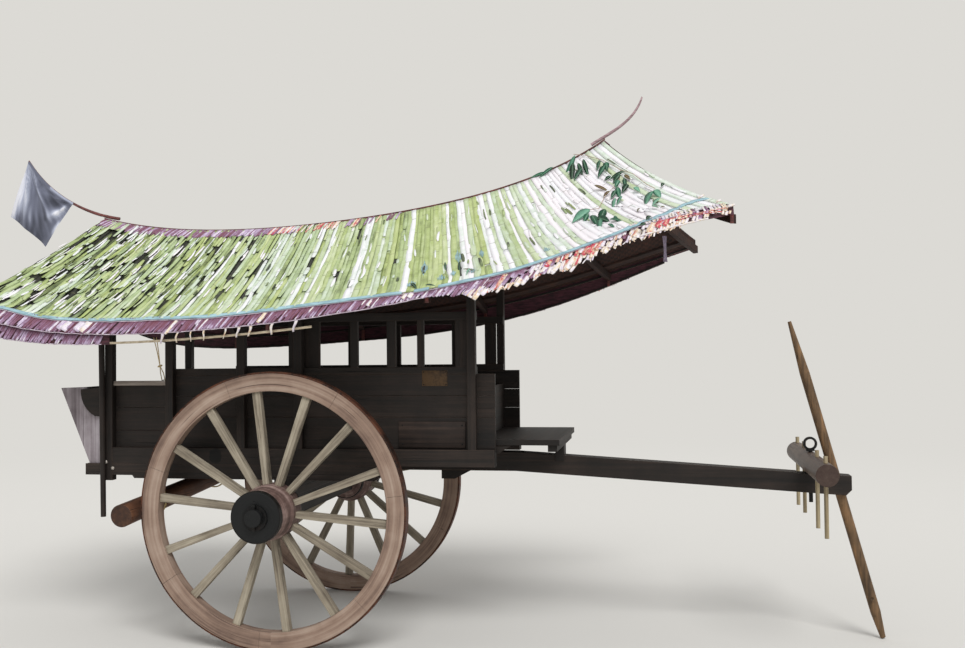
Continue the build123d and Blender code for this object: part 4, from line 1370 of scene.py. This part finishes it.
class CART_OT_ridge(bpy.types.Operator):
    """Bind the ridge with slanting dyed strips, close at the rear and sparse towards the middle"""
    bl_idname = "cart.ridge"
    bl_label = "Ridge binding"

    def execute(self, context):
        settings = context.scene.cart_roof
        material = bpy.data.materials["cane_dyed_woven"]
        for order, side in enumerate(SIDES):
            roof = RoofSide(side)
            draw = random.Random(83 + order)
            pile = Pile()
            run = 0.004
            while run < 0.62:
                width = settings.fleck_width * draw.uniform(0.7, 1.1)
                kept = 1.0 if run < 0.42 else between(run, (0.42, 0.62), (0.5, 0.15))
                if draw.random() < kept:
                    tints = (0.34, 0.42, 0.5, 0.56, 0.62, 0.7) if run < 0.36 else (0.42, 0.6, 0.8, 0.88, 0.97)
                    self.bind(pile, roof, run, width, draw.choice(tints) + draw.gauss(0, 0.03), draw)
                run += width * 1.12 / roof.length
            pile.make(f"ridge_binding_{side}", material, "cart", "purple_band")
        return {"FINISHED"}

    def bind(self, pile, roof, run, width, tint, draw):
        rings = []
        reach = draw.uniform(0.06, 0.09)
        for share in (i / 4 for i in range(5)):
            place, _, across, normal = roof.axes(max(0.002, run - 0.007 * share), 0.003 + reach * share)
            rings.append(strip_section(place + normal * (0.0155 + 0.002 * math.sin(math.pi * share)),
                                       across, normal, width, 0.0012, 0.001))
        pile.add_rings(rings, tint, draw.uniform(0, 99))


# Leaves on the near side: pixel column and row of the stalk end, the same of the tip, width in millimetres,
# and tint from dark through green to pale and brown. The darkest tints are partly painted shade and the
# palest are painted highlights.
LEAVES = (
    (575, 155, 564, 182, 30, 0.36), (573, 163, 572, 183, 34, -0.06), (582, 168, 574, 181, 32, 0.08),
    (583, 159, 589, 178, 28, 0.02), (606, 162, 607, 171, 38, 0.18), (605, 165, 598, 178, 32, 0.14),
    (624, 171, 609, 180, 22, -0.05), (620, 174, 613, 184, 30, 0.0), (624, 175, 631, 180, 20, 0.86),
    (619, 180, 615, 188, 28, 0.38), (628, 184, 622, 193, 32, -0.04), (617, 187, 620, 199, 32, 0.28),
    (622, 196, 617, 205, 26, 0.42), (615, 198, 613, 209, 26, 0.5), (594, 185, 610, 192, 20, 0.88),
    (610, 191, 603, 197, 22, 0.84), (652, 191, 645, 206, 46, 0.34), (654, 190, 661, 198, 40, 0.54),
    (660, 198, 652, 206, 28, 0.64), (652, 206, 659, 208, 16, 0.7), (590, 209, 572, 223, 54, 0.54),
    (592, 215, 598, 227, 42, 0.14), (605, 209, 599, 223, 42, 0.12), (598, 218, 610, 222, 40, 0.06),
    (600, 219, 600, 230, 34, 0.4), (610, 219, 622, 221, 26, 0.2), (614, 216, 619, 223, 18, 0.25),
    (651, 216, 646, 220, 26, -0.1), (646, 224, 639, 226, 22, -0.08), (640, 208, 637, 212, 14, 0.88),
    (665, 207, 660, 208, 12, 0.88), (634, 187, 640, 192, 26, 0.62), (553, 167, 539, 178, 22, 0.16),
    (546, 172, 530, 178, 20, 0.22), (664, 183, 661, 187, 18, -0.06), (578, 163, 583, 176, 26, 0.0),
    (624, 178, 626, 189, 24, 0.08), (611, 176, 604, 181, 20, -0.02), (616, 190, 611, 199, 24, 0.12),
    (600, 160, 597, 171, 24, 0.1), (588, 214, 584, 222, 30, 0.3), (608, 224, 615, 228, 20, 0.2),
    (459, 262, 460, 275, 16, -0.1), (463, 269, 477, 271, 12, 0.82), (445, 262, 446, 272, 12, 0.0),
    (411, 283, 417, 289, 20, -0.05), (425, 285, 436, 286, 12, -0.1), (470, 268, 466, 275, 10, 0.6),
)
# Twigs that the leaves hang on: pixel points along each
TWIGS = (
    ((574, 155), (586, 158), (604, 163), (622, 173)), ((622, 173), (634, 177), (648, 188), (656, 192)),
    ((622, 173), (620, 185), (606, 200), (600, 212), (588, 214)),
)


class CART_OT_leaves(bpy.types.Operator):
    """Lay the leafy twigs on the front of the near roof"""
    bl_idname = "cart.leaves"
    bl_label = "Leaves"

    def execute(self, context):
        scene = context.scene
        self.roof = node_tree("roof_skin_right")
        draw = random.Random(29)
        pile = Pile()
        for leaf in LEAVES:
            self.grow(pile, leaf, scene.cart_trim.leaf_lift, draw)
        pile.make("roof_leaves", leaf_finish(scene.cart_colours), "cart", "split_bamboo")
        twigs = Pile()
        for points in TWIGS:
            path = [place + normal * 0.022 for place, normal in (self.on_roof(*pixel) for pixel in points)]
            fine = [a.lerp(b, t / 4) for a, b in zip(path, path[1:]) for t in range(4)] + [path[-1]]
            twigs.add_rings(tube_rings(fine, 0.0018, 6), 0.3)
        # Green twig, fresh: brown-pink bark
        bark = plain_fibre("twig_fresh_bark", "#8a6f5f", "#c9ad9c", 5)
        twigs.make("roof_twigs", bark, "cart", "cane")
        return {"FINISHED"}

    def on_roof(self, column, row):
        """Where the photograph shows a pixel of the roof, and the roof's normal there."""
        sight = sight_line(column, row)
        place, normal = self.roof.ray_cast(CAMERA_PLACE, sight)[:2]
        if place is None:
            choices = [CAMERA_PLACE + sight * (4.5 + 0.03 * i) for i in range(80)]
            place = min(choices, key=lambda choice: self.roof.find_nearest(choice)[3])
            normal = self.roof.find_nearest(place)[1]
        return place, normal if normal.z > 0 else -normal

    def clearance(self, place):
        """How far a place stands above the roof."""
        nearest, normal = self.roof.find_nearest(place)[:2]
        return (place - nearest).dot(normal if normal.z > 0 else -normal)

    def grow(self, pile, leaf, lift, draw):
        """A leaf that starts and ends where its two pixels are seen, clear of the strips."""
        column, row, tip_column, tip_row, width, tint = leaf
        base, normal = self.on_roof(column, row)
        toward = (CAMERA_PLACE - base).normalized()
        face = (normal + toward * draw.uniform(0.2, 0.7)).normalized()
        sight = sight_line(tip_column, tip_row)
        tip = CAMERA_PLACE + sight * ((base - CAMERA_PLACE).dot(face) / sight.dot(face))
        nearer = 1.0
        while nearer > 0.985:
            ends = [CAMERA_PLACE + (end - CAMERA_PLACE) * nearer for end in (base, base.lerp(tip, 0.5), tip)]
            if min(self.clearance(end) for end in ends) > lift:
                break
            nearer -= 0.001
        base, _, tip = ends
        across = face.cross(tip - base).normalized()
        roll = draw.uniform(-0.35, 0.35)
        side = across * math.cos(roll) + face * math.sin(roll)
        up = face * math.cos(roll) - across * math.sin(roll)
        rings = []
        for t in (i / 9 for i in range(10)):
            half = width * MM / 2 * max(0.04, math.sin(math.pi * t ** 0.75) ** 0.9)
            centre = base.lerp(tip, t) + face * (0.004 * math.sin(math.pi * t))
            fold = half * 0.28
            rings.append([centre - side * half + up * fold, centre + up * 0.0008,
                          centre + side * half + up * fold, centre - up * 0.0006])
        pile.add_rings(rings, tint + draw.gauss(0, 0.02), draw.uniform(0, 9))


class CART_OT_flag(bpy.types.Operator):
    """Hang the cotton flag from the whip at the rear of the ridge"""
    bl_idname = "cart.flag"
    bl_label = "Flag"

    COLUMNS = 40
    ROWS = 36
    # Painted light and shade: a bright hem, bright patches and streaks where light falls and dark bands where
    # shade falls: share along the whip and down, reach both ways, change of tint
    LIGHT_AND_SHADE_PATCHES = ((0.0, 0.7, 0.10, 0.6, 0.6), (0.14, 0.5, 0.1, 0.25, 0.2), (0.84, 0.30, 0.08, 0.10, 0.55),
              (0.90, 0.18, 0.04, 0.08, 0.4), (0.99, 0.55, 0.05, 0.16, 0.5), (0.60, 0.3, 0.13, 0.5, -0.3),
              (0.86, 0.06, 0.12, 0.05, -0.3), (0.7, 0.55, 0.05, 0.06, -0.3), (0.3, 0.25, 0.05, 0.3, -0.15),
              (0.5, 0.95, 0.5, 0.12, -0.1))
    # The sleeve's rows round the whip: turns from its back over its top to its front
    SLEEVE = (math.pi, 0.75 * math.pi, 0.5 * math.pi, 0.25 * math.pi, 0.0)

    def execute(self, context):
        fold = context.scene.cart_trim.flag_fold
        corners = [vertex.co for vertex in NODES["flag"].data.vertices]
        foot = max(corners, key=lambda p: p.x)
        low, tail = (Vector((p.x, 0, p.z)) for p in (
            min(corners, key=lambda p: p.z), min(corners, key=lambda p: p.x)))
        whip_low, whip_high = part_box("flag_whip")
        whip = node_tree("flag_whip")
        radius = (whip_high.y - whip_low.y) / 2 + 0.0015
        points = []
        self.tint = []
        for j in range(self.ROWS + 1):
            for i in range(self.COLUMNS + 1):
                s = i / self.COLUMNS
                x = whip_low.x + 0.006 + (foot.x - whip_low.x - 0.006) * s
                middle = whip.ray_cast(Vector((x, 0, whip_high.z + 1)), -UP)[0] - UP * radius
                if j < len(self.SLEEVE):
                    self.tint.append(0.25 if s < 0.5 else 0.62)
                    turn = self.SLEEVE[j]
                    points.append(middle + Vector((0, -math.cos(turn), math.sin(turn))) * radius)
                    continue
                t = (j - len(self.SLEEVE) + 1) / (self.ROWS - len(self.SLEEVE) + 1)
                place = middle.lerp(tail.lerp(low, s), t)
                place.x += 0.012 * math.sin(math.pi * t) * (0.5 - s)
                depth = self.depth(s, t)
                place.y = -radius * (1 - t) - depth * fold
                points.append(place)
                # Painted shade in the valleys of the folds and small creases, painted light on their ridges,
                # and the painted patches of light and shade
                wrinkle = wobble(s / (s + t + 0.02) * 22, (s + t) * 2.5, 3)
                self.tint.append(0.40 + 0.3 * depth + 0.3 * wrinkle + sum(
                    change * math.exp(-((s - at_s) / wide) ** 2 - ((t - at_t) / long) ** 2)
                    for at_s, at_t, wide, long, change in self.LIGHT_AND_SHADE_PATCHES))
        cloth = make_piece("flag_cloth", points, grid_faces(self.ROWS, self.COLUMNS), flag_cloth(),
                           "cart", "flag_cloth", tint=self.tint)
        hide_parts("flag")
        rows = [points[j * (self.COLUMNS + 1):(j + 1) * (self.COLUMNS + 1)] for j in range(self.ROWS + 1)]
        width = max(line_length(row) for row in (rows[0], rows[-1]))
        length = max(line_length([row[i] for row in rows]) for i in (0, self.COLUMNS))
        return {"FINISHED"}

    def depth(self, s, t):
        """Folds that fan from the whip's tip, and short ones gathered at the foot of the sleeve."""
        from_tip = s / (s + t + 0.02)
        reach = s + t
        crease = (1 - 2 * abs(math.sin(from_tip * 9.5 + 0.5))) * min(1, reach * 2.2) * (1 - 0.45 * reach)
        fan = crease + 0.35 * math.sin(from_tip * 31) * math.exp(-3 * reach)
        near_foot = math.exp(-3.0 * ((1 - s) + t * 0.7))
        gathers = (1 - 2 * abs(math.sin((1 - s) / (1 - s + t + 0.05) * 8 + 0.6))) * near_foot * min(1, t * 6)
        belly = 0.8 * math.sin(t * 3.4 + s * 1.5) * t
        calm_edge = 1 - 0.7 * math.exp(-((1 - s) / 0.12) ** 2)
        return (fan * min(1, t * 5) * 0.7 + gathers * 1.2 + belly) * calm_edge


def rope_strands(pile, path, diameter, closed):
    """A rope of three strands laid round a path."""
    strands = 3
    strand = diameter * 0.27
    lay = diameter * 3.6
    fine = []
    for a, b in zip(path, [*path[1:], path[0]] if closed else path[1:]):
        pieces = max(1, round((b - a).length / (lay / 8)))
        fine += [a.lerp(b, k / pieces) for k in range(pieces)]
    if not closed:
        fine.append(path[-1])
    lengths = [0.0]
    for a, b in zip(fine, fine[1:]):
        lengths.append(lengths[-1] + (b - a).length)
    whole = lengths[-1] + (fine[0] - fine[-1]).length * closed
    turns = max(1, round(whole / lay))
    for number in range(strands):
        line = []
        for (place, side, up), length in zip(path_frames(fine, closed), lengths):
            angle = 2 * math.pi * (turns * length / whole + number / strands)
            line.append(place + (side * math.cos(angle) + up * math.sin(angle)) * (diameter / 2 - strand))
        pile.add_rings(tube_rings(line, strand, 6, Vector((0, 1, 0)), closed), 0.5, closed=closed)


# The ribbon that hangs under the near eave's front: pixel column and rows of its ends
RIBBON_PIXELS = (664.5, 236, 262)


class CART_OT_ribbon(bpy.types.Operator):
    """Hang the violet ribbon from the front of the near eave"""
    bl_idname = "cart.ribbon"
    bl_label = "Ribbon"

    WIDTH = 0.024
    STEPS = 14

    def execute(self, context):
        column, row, low_row = RIBBON_PIXELS
        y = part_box("eave_band_right")[0].y + 0.012
        top = at_pixel(column, row, y)
        low = at_pixel(column + 1, low_row, y)
        points = []
        for share in (i / self.STEPS for i in range(self.STEPS + 1)):
            middle = top.lerp(low, share)
            turn = 0.5 + 0.5 * math.sin(share * 3)
            side = Vector((math.cos(turn), math.sin(turn), 0)) * (self.WIDTH / 2)
            middle.y += 0.005 * math.sin(share * 5)
            points += [middle - side, middle, middle + side]
        # Silk, woven and faded: thin violet-grey with a weak sheen
        silk = plain_fibre("silk_woven_faded", "#453c47", "#7d7183", 3, roughness=0.6)
        ribbon = make_piece("eave_ribbon", points, grid_faces(self.STEPS, 2), silk, "cart", "flag_cloth")
        length = line_length(points[1::3])
        return {"FINISHED"}


class CART_OT_ropes(bpy.types.Operator):
    """Twist the sling ropes of the brake log and tie the cord at the rear window"""
    bl_idname = "cart.ropes"
    bl_label = "Ropes"

    def execute(self, context):
        trim = context.scene.cart_trim
        # Coconut fibre, laid in three strands: golden brown and hairy
        coir = plain_fibre("coconut_fibre_laid", "#8a7049", "#cfba8a", 2.5, roughness=0.85)
        pile = Pile()
        for outward in (-1, 1):
            self.sling(pile, outward, trim.rope_diameter)
        slings = pile.make("sling_ropes", coir, "brake", "rope")
        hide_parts("brake_slings")
        cord = Pile()
        self.window_cord(cord, trim.cord_diameter)
        cord.make("window_cord", coir, "cart", "rope")
        return {"FINISHED"}

    def sling(self, pile, outward, diameter):
        """Two turns of rope round the log and its peg."""
        points = [v.co for v in NODES["brake_slings"].data.vertices if v.co.y * outward > 0]
        peg_low, peg_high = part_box("sling_pegs")
        peg = Vector(((peg_low.x + peg_high.x) / 2, 0, (peg_low.z + peg_high.z) / 2))
        peg_radius = peg_high.z - peg.z
        x_low, x_high = (pick(p.x for p in points) for pick in (min, max))
        band = max(p.z for p in points) - peg.z - peg_radius
        log_reach = (x_high - x_low) / 2
        log = Vector(((x_low + x_high) / 2, 0, min(p.z for p in points) + log_reach))
        around_peg = peg_radius + band / 2
        around_log = log_reach - band / 2 + 0.001
        ahead = (log - peg).normalized()
        beside = Vector((-ahead.z, 0, ahead.x))
        open_angle = math.acos((around_peg - around_log) / (log - peg).length)
        middle = sum(p.y for p in points) / len(points)
        for shift in (-0.5, 0.5):
            path = []
            for centre, radius, start, end, steps in (
                    (log, around_log, -open_angle, open_angle, 26),
                    (peg, around_peg, open_angle, 2 * math.pi - open_angle, 12)):
                for i in range(steps + 1):
                    angle = start + (end - start) * i / steps
                    place = centre + (ahead * math.cos(angle) + beside * math.sin(angle)) * radius
                    path.append(place + Vector((0, middle + shift * diameter * 1.05, 0)))
            rope_strands(pile, path, diameter, True)

    def window_cord(self, pile, diameter):
        """A cord from the eave lath down to the cap rail, doubled below its knot."""
        rail_low, rail_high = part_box("cap_rails")
        rail_y = rail_low.y + 0.014
        lath_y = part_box("eave_laths")[0].y
        top = at_pixel(154.7, 337.5, lath_y + 0.02)
        knot = at_pixel(160, 366, (rail_y + lath_y) / 2)
        for column in (162.0, 165.0):
            end = at_pixel(column, 381, rail_y)
            end.z = rail_high.z + diameter / 2
            bow = FORWARD * (0.003 * (column - 163))
            rope_strands(pile, [knot, knot.lerp(end, 0.5) + bow, end, end + Vector((0.004, 0.02, 0.001))],
                         diameter * 0.8, False)
        for shift in (-0.006, 0.010):
            start = top + FORWARD * shift
            middle = start.lerp(knot, 0.5) + FORWARD * 0.002
            rope_strands(pile, [start, middle, knot], diameter * 0.8, False)
        for size, tilt in ((0.011, 0.3), (0.009, -0.5)):
            ring = [knot + Vector((math.cos(a) * size, math.sin(a) * size, math.cos(a + tilt) * size * 0.5))
                    for a in (2 * math.pi * i / 10 for i in range(10))]
            rope_strands(pile, ring, diameter * 0.8, True)


# A rotted pocket in the near sill: pixel column and row
ROT_PIXEL = (215.5, 455.5)
# Bolt heads that show on the near sill: pixel column and row
BOLTS = ((106, 462), (113, 468))
# The blank plate on the near wall: pixel columns and rows of its edges
PLATE_EDGES = (422, 370.5, 447.5, 386)
# The board let into the near wall between the front post and the wheel: pixel edges
BOARD_EDGES = (399, 421.5, 466, 448)


class CART_OT_fittings(bpy.types.Operator):
    """Fix the blank plate, the patch board, bolt heads and nails to the near side"""
    bl_idname = "cart.fittings"
    bl_label = "Fittings"

    def execute(self, context):
        trim = context.scene.cart_trim
        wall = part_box("wall_planks_right")[0].y
        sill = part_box("sills")[0].y
        # Brass sheet, rolled and tarnished: dull yellow-brown with dark stains
        tarnished = forged_iron("brass_rolled_tarnished", "#30241a", "#5f4a34", 0.45, roughness=0.6)
        plate = Pile()
        self.panel(plate, PLATE_EDGES, wall, 0.0025, 0.003)
        plate.make("blank_plate", tarnished, "cart", "forged_iron")
        # Hardwood board, sawn: newer than the rest, dusty brown
        newer = wood("hardwood_sawn_patch", "#17110f", "#2f2520", "#4a3c34", "x", roughness=0.75,
                     worn="#5e4e43")
        board = Pile()
        self.panel(board, BOARD_EDGES, wall, 0.012, 0.004)
        board.make("patch_board", newer, "cart", "dark_wood")
        # Steel bolt, forged and rubbed bright on its head
        bright = forged_iron("steel_bolt_rubbed", "#6b6259", "#c9c2ba", 0.45, roughness=0.4)
        heads = Pile()
        for column, row in BOLTS:
            self.head(heads, at_pixel(column, row, sill), trim.bolt_diameter)
        heads.make("bolt_heads", bright, "cart", "forged_iron")
        nails = Pile()
        for edges, depth, inset in ((PLATE_EDGES, 0.0025, 0.008), (BOARD_EDGES, 0.012, 0.02)):
            for nail in self.nail_places(edges, wall - depth, inset):
                self.head(nails, nail, 0.007 if depth < 0.005 else 0.009)
        # Iron nails, forged: dark heads worn by hands
        nails.make("panel_nails", bpy.data.materials["wrought_iron_greased"], "cart", "forged_iron")
        return {"FINISHED"}

    def corners(self, edges, y):
        left, top, right, low = edges
        high_rear = at_pixel(left, top, y)
        low_front = at_pixel(right, low, y)
        return high_rear.x, low_front.x, low_front.z, high_rear.z

    def panel(self, pile, edges, wall, thickness, bevel):
        """A thin board on the wall with eased edges."""
        x0, x1, z0, z1 = self.corners(edges, wall)
        rings = []
        for depth, inset in ((0, 0), (thickness - bevel / 2, 0), (thickness, bevel / 2)):
            rings.append([Vector((x, wall - depth, z)) for x, z in (
                (x0 + inset, z0 + inset), (x0 + inset, z1 - inset),
                (x1 - inset, z1 - inset), (x1 - inset, z0 + inset))])
        pile.add_rings(rings, 0.5)

    def nail_places(self, edges, y, inset):
        x0, x1, z0, z1 = self.corners(edges, y)
        return [Vector((x, y, z)) for x in (x0 + inset, x1 - inset) for z in (z0 + inset, z1 - inset)]

    def head(self, pile, centre, diameter):
        """A low domed head that stands out from the near side."""
        rings = []
        for rise, share in ((0, 1), (0.18, 0.95), (0.30, 0.7), (0.36, 0.3)):
            reach = diameter / 2 * share
            rings.append([centre + Vector((c * reach, -rise * diameter, s * reach)) for c, s in circle(12)])
        pile.add_rings(rings, 0.5)


class CartPanel(bpy.types.Panel):
    """Lists the cart's finishing steps in the sidebar"""
    bl_idname = "VIEW3D_PT_cart"
    bl_label = "Cart"
    bl_space_type = "VIEW_3D"
    bl_region_type = "UI"
    bl_category = "Cart"

    def draw(self, context):
        for step in STEPS:
            self.layout.operator(step.bl_idname)


STEPS = (CART_OT_stage, CART_OT_wheels, CART_OT_body, CART_OT_roof_strips, CART_OT_eave_bands,
         CART_OT_ridge, CART_OT_leaves, CART_OT_flag, CART_OT_ribbon, CART_OT_ropes, CART_OT_fittings)
GROUPS = {"cart_roof": CartRoofSettings, "cart_trim": CartTrimSettings, "cart_colours": CartColours}


def register():
    for kind in (*GROUPS.values(), *STEPS, CartPanel):
        bpy.utils.register_class(kind)
    for name, kind in GROUPS.items():
        setattr(bpy.types.Scene, name, PointerProperty(type=kind))


def unregister():
    for name in GROUPS:
        delattr(bpy.types.Scene, name)
    for kind in (CartPanel, *reversed(STEPS), *GROUPS.values()):
        bpy.utils.unregister_class(kind)


def main():
    register()
    bpy.ops.cart.stage()
    bpy.ops.cart.wheels()
    bpy.ops.cart.body()
    bpy.ops.cart.roof_strips()
    bpy.ops.cart.eave_bands()
    bpy.ops.cart.ridge()
    bpy.ops.cart.leaves()
    bpy.ops.cart.flag()
    bpy.ops.cart.ribbon()
    bpy.ops.cart.ropes()
    bpy.ops.cart.fittings()
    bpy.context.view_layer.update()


if __name__ == "__main__":
    main()
